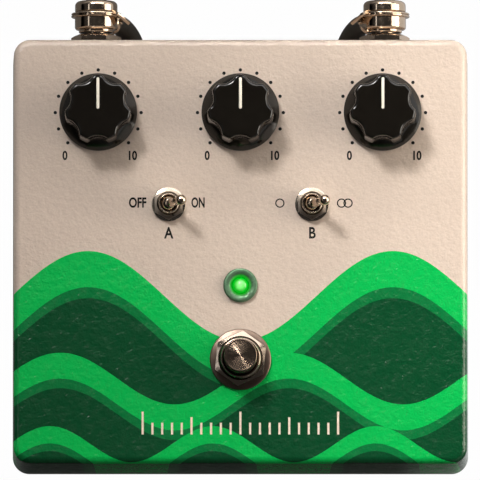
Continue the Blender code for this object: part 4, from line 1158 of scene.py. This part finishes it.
@dataclass
class Knob(Assembly):
    """A fluted knob with a skirt and its pointer."""

    place: str = "left"
    x: float = 0.0
    flutes: int = 7
    radius: float = 9.6
    floor: float = 8.1
    scoop: float = 4.6
    skirt: float = 11.25
    height: float = 15
    round: float = 1.0
    bore: float = 3.3
    hollow: float = 7.4
    start: float = 2.1
    slope: float = 0.72
    steps: int = 210

    def outline(self, angle: float) -> float:
        """Works out the fluted outline, a little smoothed.

        Args:
            angle: The direction, 0 under the pointer.

        Returns:
            The radius there.
        """
        pitch = math.tau / self.flutes
        away = self.floor + self.scoop
        total, count = 0.0, 9
        for i in range(count):
            swing = angle + (i - count // 2) * math.radians(0.55)
            off = swing % pitch - pitch / 2
            inside = self.scoop**2 - (away * math.sin(off)) ** 2
            reach = away * math.cos(off) - math.sqrt(inside) if inside > 0 else self.radius
            total += min(self.radius, reach)
        return total / count

    def fluted(self, taper: float) -> Callable[[float], float]:
        """Returns the radius by angle of a fluted ring."""
        return lambda angle: self.outline(angle) + taper

    def even(self, size: float) -> Callable[[float], float]:
        """Returns a radius or height that is the same all round."""
        return lambda angle: size

    def skirt_top(self, lift: float) -> Callable[[float], float]:
        """Returns the height by angle at which the flutes meet the skirt's slope."""
        foot = self.fluted(0.12)
        return lambda angle: self.start + (self.skirt - foot(angle)) * self.slope + lift

    def cap(self) -> Shape:
        """Makes the knob's body, ring by ring from its bore up to its top.

        Returns:
            The body.
        """
        shape = bmesh.new()
        bmesh.ops.create_circle(shape, cap_ends=True, segments=self.steps, radius=self.bore * MM)
        moved(shape, at(0, 0, 12.3))
        loop = list(shape.edges)
        even, fluted, skirt, start = self.even, self.fluted, self.skirt, self.start
        lower = [(self.bore, 4.4), (self.hollow, 4.4), (self.hollow, 0.8), (skirt - 0.2, 0.8), (skirt, 1.0)]
        lower += [(skirt, start - 0.25), (skirt - 0.1, start)]
        rings = [(even(radius), even(height)) for radius, height in lower]
        rings += [(fluted(0.12), self.skirt_top(0.0)), (fluted(0.05), self.skirt_top(0.1))]
        rings.append((fluted(0), even(self.height - self.round - 0.2)))
        for radius, height in arc(0, self.height - self.round, self.round, 0, 90, 7):
            rings.append((fluted(radius - self.round), even(height)))
        for share in (0.8, 0.55, 0.3, 0.1):
            rings.append((even(self.floor * share), even(self.height - 0.12 * (1 - share))))
        for radius_at, height_at in rings:
            made = bmesh.ops.extrude_edge_only(shape, edges=loop)["geom"]
            for vert in (g for g in made if isinstance(g, bmesh.types.BMVert)):
                angle = math.atan2(vert.co.x, vert.co.y)
                reach = radius_at(angle)
                vert.co = metres((reach * math.sin(angle), reach * math.cos(angle), height_at(angle)))
            loop = [g for g in made if isinstance(g, Edge)]
        bmesh.ops.contextual_create(shape, geom=loop)
        bmesh.ops.recalc_face_normals(shape, faces=shape.faces)
        return shape

    def groove(self) -> Shape:
        """Returns the cutter of the groove round the pointer."""
        slot = box((-0.62, -0.62, self.height - 0.55), (0.62, 9.3, self.height + 1))
        return bevel(slot, upright_edges(slot), 0.6, 6)

    def pointer(self) -> Shape:
        """Makes the inlaid bar.

        Returns:
            The bar.
        """
        half, top = 0.415, self.height + 0.1
        bar = box((-half, -half, self.height - 0.6), (half, 9.1 - half, top))
        bevel(bar, upright_edges(bar), half * 0.96, 7)
        return bevel(bar, rim_edges(bar, top), 0.1, 3)

    def build(self) -> None:
        """Makes the knob and its pointer."""
        body, name = Body.CONTROL.of(self.place), self.place
        spot = at(self.x, KNOB_Y + CASE_Y, FACE)
        cap = moved(combine(self.cap(), self.groove()), spot)
        self.add(f"fluted_knob_{name}", cap, KNOB, f"knob_{name}", body, sharp=38)
        self.add(f"inlay_{name}", moved(self.pointer(), spot), IVORY, f"pointer_{name}", body, sharp=50)


@dataclass
class Toggle(Assembly):
    """A mini toggle switch with its nut, washer and leaning bat lever."""

    place: str = "left"
    x: float = 0.0
    pivot: float = 3.5
    lean: float = 20
    reach: float = 12
    bush: float = 3.0
    bush_foot: float = 37.4
    bush_rise: float = 4.4
    bore: float = 2.45

    def lever(self) -> Shape:
        """Makes the lever about the middle of its ball, along its own Z.

        Returns:
            The lever.
        """
        ball, tip, neck, tail = 2.15, 1.6, 1.05, 0.8
        start, end = (math.degrees(math.acos(width / ball)) for width in (neck, tail))
        points = arc(0, self.reach - tip, tip, 90, -12, 14)
        points += [(1.42, self.reach - 3.2), (1.2, self.reach - 5.2)]
        points += [*arc(0, 0, ball, start, -end, 18), (tail, -3.4), (0, -3.4)]
        return lathe(points, 64)

    def housing(self) -> Shape:
        """Makes the switch's case with its threaded bush.

        Returns:
            The case.
        """
        case = box((-6.35, -3.45, 30.8), (6.35, 3.45, 37.8))
        bevel(case, upright_edges(case), 0.4)
        rise, foot, bore = FACE + self.bush_rise, self.bush_foot, self.bore
        bush = [(0, rise), (self.bush - 0.3, rise), *thread(self.bush, foot, rise - 0.1, 0.6), (0, foot)]
        well = [(0, rise + 1), (bore + 1.2, rise + 1), (bore, rise - 0.2)]
        well += [(bore, FACE - 0.5), (0, FACE - 0.5)]
        return combine(combine(case, lathe(bush, 64), Cut.JOIN), lathe(well, 64))

    def build(self) -> None:
        """Makes the switch."""
        y, name = TOGGLE_Y + CASE_Y, self.place
        spot = at(self.x, y)
        lever = moved(self.lever(), at(self.x, y, FACE + self.pivot) @ tilted(self.lean, "Y"))
        body = Body.LEVER.of(name)
        self.add(f"bat_lever_{name}", lever, NICKEL, f"toggle_lever_{name}", body, sharp=60)
        self.add(f"switch_{name}", moved(self.housing(), spot), STEEL, f"toggle_body_{name}", sharp=50)
        washer = [(3.3, 41.4), (4.75, 41.4), (4.9, 41.3), (4.9, 40.95), (4.8, 40.9), (3.3, 40.9)]
        ring = moved(lathe(washer, closed=True), spot)
        self.add(f"switch_washer_{name}", ring, STEEL, f"toggle_washer_{name}", sharp=40)
        nut = moved(hex_nut(8, 3.3, 41.7, 2), spot)
        self.add(f"switch_nut_{name}", nut, NUT_STEEL, f"toggle_nut_{name}", edge=0.12, sharp=20)


@dataclass
class StompSwitch(Assembly):
    """The stomp switch: body with its bush, washer, nut, return spring and the ringed button."""

    radius: float = 4.8
    rise: float = 13.7
    stem_foot: float = 42.9
    rod: float = 2.0
    rod_length: float = 11.5
    bush: float = 5.9
    bush_bore: float = 5.1
    bush_rise: float = 6.3
    flange: float = 7.5
    block_top: float = 35.1
    rings: int = 13
    ring_step: float = 0.325
    ring_depth: float = 0.034
    travel: float = 3.5
    coil_low: float = 35.4
    coil_height: float = 7.2
    coil_radius: float = 3.7
    coil_wire: float = 0.25
    coil_turns: int = 5

    def button(self) -> Shape:
        """Makes the button with its stem and rod.

        Returns:
            The button.
        """
        top, step, radius = FACE + self.rise, self.ring_step, self.radius
        stem, foot = self.stem_foot, self.stem_foot - self.rod_length
        points = [(0, top - 0.04)]
        for i in range(self.rings):
            points += [((i + 0.5) * step, top), ((i + 1) * step, top - self.ring_depth)]
        points += [(self.rings * step + 0.12, top), *arc(radius - 0.3, top - 0.3, 0.3, 80, 0, 5)]
        points += [(radius, stem), (self.rod, stem), (self.rod, foot), (0, foot)]
        return lathe(points)

    def housing(self) -> Shape:
        """Makes the switch's block with the well of its rod.

        Returns:
            The block.
        """
        half, well, floor = 8.7, self.rod + 0.3, 27.6
        block = box((-half, -half, 16.9), (half, half, self.block_top))
        bevel(block, upright_edges(block), 0.8, 4)
        return combine(block, lathe([(0, 36), (well, 36), (well, floor), (0, floor)]))

    def collar(self) -> Shape:
        """Makes the metal shoulder with the threaded and bored bush.

        Returns:
            The bush.
        """
        rise, foot, bore = FACE + self.bush_rise, 37.8, self.bush_bore
        points = [(bore, rise - 0.5), *arc(5.44, rise - 0.34, 0.34, 180, 0, 10)]
        points += [*thread(self.bush, foot, rise - 0.4, 0.75), (self.flange, foot)]
        return lathe(points + [(self.flange, self.block_top), (bore, self.block_top)], closed=True)

    def coil(self) -> Shape:
        """Makes the return spring, one wire wound round the rod.

        Returns:
            The spring.
        """
        shape = bmesh.new()
        bmesh.ops.create_circle(shape, cap_ends=False, segments=12, radius=self.coil_wire * MM)
        moved(shape, at(self.coil_radius, 0, self.coil_low + self.coil_wire) @ tilted(90, "X"))
        steps = 36 * self.coil_turns
        start = list(shape.edges)
        made = bmesh.ops.spin(
            shape,
            geom=shape.verts[:] + start,
            cent=(0, 0, 0),
            axis=(0, 0, 1),
            dvec=(0, 0, (self.coil_height - 2 * self.coil_wire) / steps * MM),
            angle=math.tau * self.coil_turns,
            steps=steps,
        )
        for end in (start, [g for g in made["geom_last"] if isinstance(g, Edge)]):
            bmesh.ops.contextual_create(shape, geom=end)
        bmesh.ops.recalc_face_normals(shape, faces=shape.faces)
        return shape

    def build(self) -> None:
        """Makes the switch."""
        y = STOMP_Y + CASE_Y
        spot = at(0, y)
        button = moved(self.button(), spot)
        self.add("ringed_button", button, TURNED_NICKEL, "stomp_button", Body.BUTTON.value, sharp=12)
        self.add("stomp_block", moved(self.housing(), spot), HOUSING, "stomp_body", sharp=40)
        self.add("stomp_bush", moved(self.collar(), spot), DARK_STEEL, sharp=30)
        coil = self.add("return_coil", moved(self.coil(), spot), STEEL, "stomp_spring", sharp=50)
        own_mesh(coil)
        washer = [(6.2, 41.7), (8.6, 41.7), (8.85, 41.5), (8.85, 41.1), (8.7, 40.9), (6.2, 40.9)]
        plate = moved(lathe(washer, 128, closed=True), spot)
        self.add("stomp_plate", plate, TURNED_STEEL, "stomp_washer", sharp=60)
        nut = moved(hex_nut(14, 6.2, 42.0, 3, -5.6), spot)
        self.add("stomp_hex", nut, DARK_STEEL, "stomp_nut", edge=0.15, sharp=20)


@dataclass
class Lamp(Assembly):
    """The lit green lamp in its round bezel."""

    radius: float = 2.5
    rise: float = 2.0
    collar: float = 2.9
    base: float = 35.1
    leg: float = 0.3
    leg_step: float = 1.27

    def build(self) -> None:
        """Makes the lamp and its bezel."""
        spot = at(0, LAMP_Y + CASE_Y)
        base, collar = self.base, self.collar
        dome = [*arc(0, FACE + self.rise - self.radius, self.radius, 90, 0, 16), (self.radius, base)]
        dome += [(collar, base), (collar, base - 0.9), (0, base - 0.9)]
        legs = [rod((x, 0, 30.8), (x, 0, base - 0.4), self.leg, 16) for x in (-self.leg_step, self.leg_step)]
        lamp = combine(lathe(dome), gathered(legs), Cut.JOIN)
        self.add("lamp_lens", moved(lamp, spot), LENS, "status_lamp", sharp=40)
        top, low, foot = FACE + 1.4, FACE + 0.3, FACE - 5.2
        ring = [(2.56, top - 0.75), (3.2, top - 0.2), (3.75, top), *arc(4.35, top - 0.6, 0.6, 90, 0, 6)]
        ring += [(4.95, low), (3.9, low), (3.9, foot), (2.8, foot), (2.8, top - 0.9), (2.56, top - 0.9)]
        self.add("lamp_ring", moved(lathe(ring, closed=True), spot), BEZEL, "lamp_bezel", sharp=50)


@dataclass
class Jack(Assembly):
    """A jack's nut and washer on the rear wall, and the plug in it."""

    place: str = "left"
    side: int = -1
    wall: float = 61.803
    plug: float = 65.203
    shank: float = 3.15
    drum: float = 6.2
    dip: float = math.radians(58)

    @property
    def stand(self) -> Matrix:
        """The place whose Z runs rearwards on the jack's axis."""
        return at(self.side * JACK_X, CASE_Y, JACK_Z) @ tilted(-90, "X")

    @property
    def root(self) -> Vector:
        """The middle of the plug's drum."""
        return metres((self.side * JACK_X, self.plug + 3.7 + CASE_Y, JACK_Z))

    @property
    def way(self) -> Vector:
        """The direction in which the cable leaves."""
        return Vector((-self.side * math.cos(self.dip), 0, -math.sin(self.dip)))

    @property
    def lug_stand(self) -> Matrix:
        """The place whose X runs rearwards, Y up off the spout and Z out of it."""
        rows = (0, 1, 0), (-self.side * math.sin(self.dip), 0, math.cos(self.dip)), self.way
        return Matrix.Translation(self.root) @ Matrix(rows).transposed().to_4x4()

    def fixings(self) -> None:
        """Makes the washer and the nut."""
        low, name = self.wall + 0.3, self.place
        ring = lathe([(4.8, low + 0.4), (6.9, low + 0.4), (6.9, low), (4.8, low)], closed=True)
        self.add(f"jack_ring_{name}", moved(ring, self.stand), STEEL, f"jack_washer_{name}")
        nut = moved(hex_nut(12.7, 4.8, low + 0.7, 2, -self.side * 24), self.stand)
        self.add(f"jack_hex_{name}", nut, NICKEL, f"jack_nut_{name}", edge=0.12, sharp=20)

    def plug_body(self) -> Shape:
        """Makes the plug from its ring down to its tip.

        Returns:
            The plug without its spout.
        """
        start, shank, drum = self.plug, self.shank, self.drum
        collar, tip = start + 0.9, start - 30
        low = collar + 3.6
        high = low + 1.3
        points = [(0, high), *arc(6.9, high - 0.3, 0.3, 90, 0, 3), (7.2, high - 0.5), (6.8, high - 0.62)]
        points += [(6.8, high - 0.72), (7.25, high - 0.85), *arc(6.95, low + 0.3, 0.3, 0, -80, 3)]
        points += [(drum, low - 0.1), (drum, collar + 1.0), *arc(drum - 0.8, collar + 0.8, 0.8, 0, -70, 4)]
        points += [(5.05, collar - 0.1), *arc(4.7, start + 0.35, 0.35, 0, -90, 3), (shank, start)]
        points += [(shank, tip + 6.4), (2.2, tip + 4.0), (shank, tip + 3.2), (0.8, tip), (0, tip)]
        return moved(lathe(points), self.stand)

    def spout(self) -> Shape:
        """Makes the spout with its rolled lip.

        Returns:
            The spout.
        """
        points = [(0, 8.7), (2.95, 8.7), *arc(3.1, 8.4, 0.3, 90, 0, 4), (3.4, 6.9), (3.2, 6.5)]
        points += [(2.3, 6.4), (2.3, 0), (0, 0)]
        turn = self.way.to_track_quat("Z", "Y").to_matrix().to_4x4()
        return moved(lathe(points, 64), Matrix.Translation(self.root) @ turn)

    def lug(self) -> Shape:
        """Makes the flat-sided lug that carries the spout, its free corner cut off.

        Returns:
            The lug.
        """
        block = box((-3.6, -3.2, 0.2), (0.7, 6.1, 5.2))
        cut = bmesh.ops.bisect_plane(
            block,
            geom=block.verts[:] + block.edges[:] + block.faces[:],
            plane_co=metres((-3.6, 0, 0.4)),
            plane_no=(-0.85, 0, 0.53),
            clear_outer=True,
        )
        bmesh.ops.edgenet_fill(block, edges=[g for g in cut["geom_cut"] if isinstance(g, Edge)])
        bmesh.ops.recalc_face_normals(block, faces=block.faces)
        return moved(bevel(block, block.edges, 0.25, 2), self.lug_stand)

    def tab(self) -> Shape:
        """Makes the thin tab that leans off the ring along the cable.

        Returns:
            The tab.
        """
        strip = box((-0.5, -2.2, -0.3), (0.5, 2.2, 5.5))
        bevel(strip, strip.edges, 0.2, 2)
        way = Vector((self.side * -0.62, -0.47, -0.63)).normalized()
        flat = way.cross(Vector((0, 0, 1))).normalized()
        turn = Matrix((flat, way.cross(flat), way)).transposed().to_4x4()
        return moved(strip, Matrix.Translation(self.root + metres((-self.side * 5.2, 2.1, 4.4))) @ turn)

    def clamp_screw(self) -> None:
        """Makes the small slotted screw in the lug."""
        head = [(0, 6.75), (0.45, 6.75), *arc(0.5, 6.35, 0.4, 90, 0, 5), (0.9, 6.0), (0, 6.0)]
        screw = combine(lathe(head, 32), box((-0.14, -1.2, 6.5), (0.14, 1.2, 7)))
        spot = self.lug_stand @ at(-0.3, 0, 3.6) @ tilted(-90, "X")
        self.add(f"clamp_screw_{self.place}", moved(screw, spot), STEEL, sharp=40)

    def cap(self) -> Shape:
        """Makes the screwed cap with its rounded shoulder and low boss.

        Returns:
            The cap.
        """
        low = self.plug + 6.1
        top = low + 3.2
        points = [(0, top + 0.7), *arc(2.6, top + 0.3, 0.4, 90, 0, 4), (3.0, top)]
        points += [*arc(4.75, top - 1.4, 1.4, 90, 0, 9), (6.15, low + 0.2), (5.95, low), (0, low)]
        return moved(lathe(points), self.stand)

    def build(self) -> None:
        """Makes the nut, the washer and the plug."""
        self.fixings()
        body = self.plug_body()
        for part in (self.spout(), self.lug(), self.tab()):
            body = combine(body, part, Cut.JOIN)
        bmesh.ops.recalc_face_normals(body, faces=body.faces)
        self.clamp_screw()
        self.add(f"plug_{self.place}", body, NICKEL, f"plug_body_{self.place}", sharp=38)
        self.add(f"plug_lid_{self.place}", self.cap(), NICKEL, f"plug_cap_{self.place}", sharp=38)


@dataclass
class PatchLead(Assembly):
    """The short cable between the two plugs, which drops from each spout and lies under the case."""

    radius: float = 2.925
    points: int = 180
    fine: int = 12
    drop: tuple[Spot, ...] = (
        (-37.03, 68.9, 14.97),
        (-36.5, 68.9, 14.12),
        (-34.71, 68.46, 11.26),
        (-33.04, 67.15, 8.59),
        (-31.61, 65.08, 6.3),
        (-30.51, 62.38, 4.54),
        (-29.82, 59.23, 3.43),
        (-29.59, 55.85, 3.05),
    )
    bed: tuple[Point, ...] = (
        *((-30, 48), (-31.2, 39), (-31.6, 30), (-29.5, 21), (-23.5, 13.2), (-14, 8.5), (-4.5, 7.2)),
        *((5.5, 7.6), (15, 9.8), (23.8, 15), (29.3, 22.5), (31.3, 31), (30.9, 40), (30, 48.5)),
    )
    bed_z: float = 3.03

    def between(self, before: Vector, start: Vector, end: Vector, after: Vector, t: float) -> Vector:
        """Finds a point on the smooth curve through four points.

        Args:
            before: The first of the four.
            start: The second, where the stretch starts.
            end: The third, where it ends.
            after: The last of the four.
            t: The share of the stretch, 0 to 1.

        Returns:
            The point.
        """
        d0, d1, d2 = (before - start).length, (end - start).length, (after - end).length
        m0 = (end - before) * d1 / (d0 + d1)
        m1 = (after - start) * d1 / (d1 + d2)
        ends = start * (2 * t**3 - 3 * t**2 + 1) + m0 * (t**3 - 2 * t**2 + t)
        return ends + end * (3 * t**2 - 2 * t**3) + m1 * (t**3 - t**2)

    def line(self) -> list[Vector]:
        """Walks the route.

        Returns:
            Points at even steps along it, from the left spout to the right one.
        """
        spots = [*self.drop, *((x, y, self.bed_z) for x, y in self.bed)]
        spots += [(-x, y, z) for x, y, z in reversed(self.drop)]
        route = [Vector(spot) * MM + Vector((0, CASE_Y * MM, 0)) for spot in spots]
        ends = [2 * route[0] - route[1], *route, 2 * route[-1] - route[-2]]
        fine = []
        for four in zip(ends, ends[1:], ends[2:], ends[3:]):
            fine += [self.between(*four, i / self.fine) for i in range(self.fine)]
        fine.append(route[-1])
        lengths = [0.0]
        for a, b in zip(fine, fine[1:]):
            lengths.append(lengths[-1] + (b - a).length)
        points, now = [], 0
        for i in range(self.points):
            wanted = lengths[-1] * i / (self.points - 1)
            while now < len(fine) - 2 and lengths[now + 1] < wanted:
                now += 1
            share = (wanted - lengths[now]) / (lengths[now + 1] - lengths[now])
            points.append(fine[now].lerp(fine[now + 1], share))
        return points

    def build(self) -> None:
        points = self.line()
        curve = bpy.data.curves.new("patch_cable", "CURVE")
        curve.dimensions, curve.use_fill_caps = "3D", True
        curve.bevel_depth, curve.bevel_resolution = self.radius * MM, 9
        spline = curve.splines.new("POLY")
        spline.points.add(len(points) - 1)
        for spot, point in zip(spline.points, points):
            spot.co = (*point, 1)
        cable = new_object("patch_cable", curve)
        self.settle(cable, JACKET, "patch_lead", Body.CASE.value)


@dataclass
class Insides(Assembly):
    """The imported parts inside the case, which keep their shapes."""

    nodes: dict[str, bpy.types.Object] = field(default_factory=dict)

    def dress(self, obj: bpy.types.Object, finish: Finish) -> None:
        """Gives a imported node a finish.

        Args:
            obj: The node.
            finish: Its finish.
        """
        for slot in obj.material_slots:
            slot.material = finish.material()
        if not obj.material_slots:
            obj.data.materials.append(finish.material())

    def build(self) -> None:
        """Gives each inner node its finish."""
        finishes = {
            ("grub_screw", "pot_shaft", "pot_nut"): STEEL,
            ("pot_body",): CAST,
            ("jack_body", "power_socket", "delay_chip"): HOUSING,
            ("main_board", "switch_board"): BOARD,
            ("ribbon_cable",): RIBBON,
        }
        for name, node in self.nodes.items():
            for starts, finish in finishes.items():
                if name.startswith(starts):
                    self.dress(node, finish)


# Studio


@dataclass(frozen=True)
class Softbox:
    """A soft rectangular lamp.

    Attributes:
        name: Its name.
        place: Its middle.
        size: Its width and height.
        power: Its power in watts.
        colour: Its tint.
        aim: The place on the face that it points at.
        spread: How wide its light spreads, in degrees.
        glint: Whether it shows only in gloss.
    """

    name: str
    place: Spot
    size: Point
    power: float
    colour: Colour
    aim: Point = (0.0, 0.0)
    spread: float = 180
    glint: bool = False

    def hang(self) -> None:
        """Adds the lamp to the scene."""
        data = bpy.data.lights.new(self.name, "AREA")
        data.shape = "RECTANGLE"
        data.size, data.size_y = self.size
        data.energy, data.color = self.power, self.colour
        data.spread = math.radians(self.spread)
        lamp = new_object(self.name, data)
        lamp.location = self.place
        way = Vector((*self.aim, FACE * MM)) - lamp.location
        lamp.rotation_euler = way.to_track_quat("-Z", "Y").to_euler()
        lamp.visible_diffuse = not self.glint


@dataclass
class Studio:
    """The pale floor, the soft lamps and the long lens above the pedal.

    Attributes:
        tilt: How far the camera leans from upright.
        scale: How many pixels of the picture a millimetre of the face fills.
        away: How far the camera stands off.
        middle: The point in the middle of the picture.
        fill: The strength of the room's even light.
        ceiling: How bright the ceiling shows in gloss.
    """

    tilt: float = math.radians(5.7)
    scale: float = 3.462
    away: float = 6.2
    middle: Spot = (-0.116 * MM, 1.695 * MM, FACE * MM)
    fill: float = 0.11
    ceiling: float = 0.05
    picture: float = 480
    sensor: float = 36
    lamps: tuple[Softbox, ...] = (
        Softbox("key", (-0.28, 0.58, 0.97), (0.26, 0.26), 0.4, (1.0, 0.99, 0.965), (0.17, -0.03), 30),
        Softbox("right", (0.28, 0.05, 0.2), (0.3, 0.15), 0.5, (1.0, 0.93, 0.83)),
        Softbox("low_right", (0.45, 0.0, 0.14), (0.34, 0.14), 0.8, (1.0, 0.91, 0.79)),
        Softbox("left_strip", (-0.5, 0.03, 0.54), (0.5, 0.06), 0.16, (0.95, 0.97, 1.0)),
        Softbox("rear", (0.05, 0.6, 0.42), (0.7, 0.1), 1.45, (1.0, 0.96, 0.91)),
        Softbox("glint", (0.05, 0.44, 0.56), (0.9, 0.36), 3.2, (1.0, 0.98, 0.95), glint=True),
    )

    def camera(self) -> None:
        """Sets up the camera, nearly straight above."""
        data = bpy.data.cameras.new("camera")
        data.sensor_width = self.sensor
        data.lens = self.sensor * self.away / (self.picture / self.scale * MM)
        data.clip_end = 40
        camera = new_object("camera", data)
        up = Vector((0, -math.sin(self.tilt), math.cos(self.tilt)))
        camera.location = Vector(self.middle) + self.away * up
        camera.rotation_euler = (self.tilt, 0, 0)
        bpy.context.scene.camera = camera

    def floor(self) -> None:
        """Lays a pale floor that shows white to the lens and keeps the pedal's shadow; in gloss its glow is
        painted nearly black in front of the pedal, dim to the left and bright to the right, as painted shade
        and light in the pedal's reflections.
        """
        shape = bmesh.new()
        bmesh.ops.create_grid(shape, x_segments=1, y_segments=1, size=6)
        floor = new_object("floor", mesh_of(shape, "floor"))
        material = bpy.data.materials.new("pale_floor")
        graph = Graph(material)
        graph.set(Base_Color=(0.07, 0.068, 0.066), Roughness=0.8, Specular_IOR_Level=0.0)
        lens, gloss = graph.rays()
        x, y, _ = graph.axes()
        # Painted shade and light: the floor's glow seen in gloss is nearly black in front of the case and dim
        # left of x = 45 mm, bright to the right, so the front wall reflects painted shade and the right side
        # a painted brightness.
        bright = graph.math("MULTIPLY", graph.span(x, 45, 70, 0.13, 0.9), graph.span(y, -68, -58, 0.03, 1.0))
        shown, mirrored = graph.math("MULTIPLY", lens, 0.99), graph.math("MULTIPLY", gloss, bright)
        share = graph.math("MAXIMUM", mirrored, shown)
        glow = graph.node("ShaderNodeEmission").outputs[0]
        mixed = graph.filled(graph.node("ShaderNodeMixShader"), (share, graph.shader.outputs[0], glow))
        graph.feed(graph.tree.nodes["Material Output"].inputs[0], mixed)
        floor.data.materials.append(material)

    def sky(self) -> None:
        """Fills the room with a low even light, white to the lens."""
        world = bpy.data.worlds.new("room")
        bpy.context.scene.world = world
        graph = Graph(world)
        lens, gloss = graph.rays()
        x, y, z = graph.axes(graph.coordinates["Generated"], 1.0)
        walls = graph.math("MULTIPLY_ADD", y, 0.4, graph.math("MULTIPLY_ADD", x, 0.55, 0.45))
        room = graph.span(z, 0.3, 0.5, graph.span(walls, 0, 1), self.ceiling)
        strength = graph.span(lens, 0, 1, graph.span(gloss, 0, 1, self.fill, room), 1.0)
        graph.filled(graph.tree.nodes["Background"], ((1.0, 0.98, 0.965), strength))

    def build(self) -> None:
        """Sets up everything outside the object."""
        bpy.context.scene.view_settings.view_transform = "Standard"
        self.camera()
        self.floor()
        self.sky()
        for lamp in self.lamps:
            lamp.hang()


def main() -> None:
    """Builds the classes in order and reports each piece."""
    logging.basicConfig(level=logging.INFO, format="%(name)s: %(message)s")
    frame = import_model()
    Studio().build()
    pedal: list[Assembly] = [Jack(place=name, side=side) for name, side in SIDES.items()]
    pedal += [PatchLead(), Enclosure(), PrintedFace()]
    pedal += [Knob(place=name, x=step * KNOB_X) for name, step in KNOB_PLACES.items()]
    pedal += [Toggle(place=name, x=side * TOGGLE_X) for name, side in SIDES.items()]
    pedal += [StompSwitch(), Lamp(), Insides(nodes=frame["nodes"])]
    for assembly in pedal:
        assembly.build()
        assembly.report()


if __name__ == "__main__":
    main()
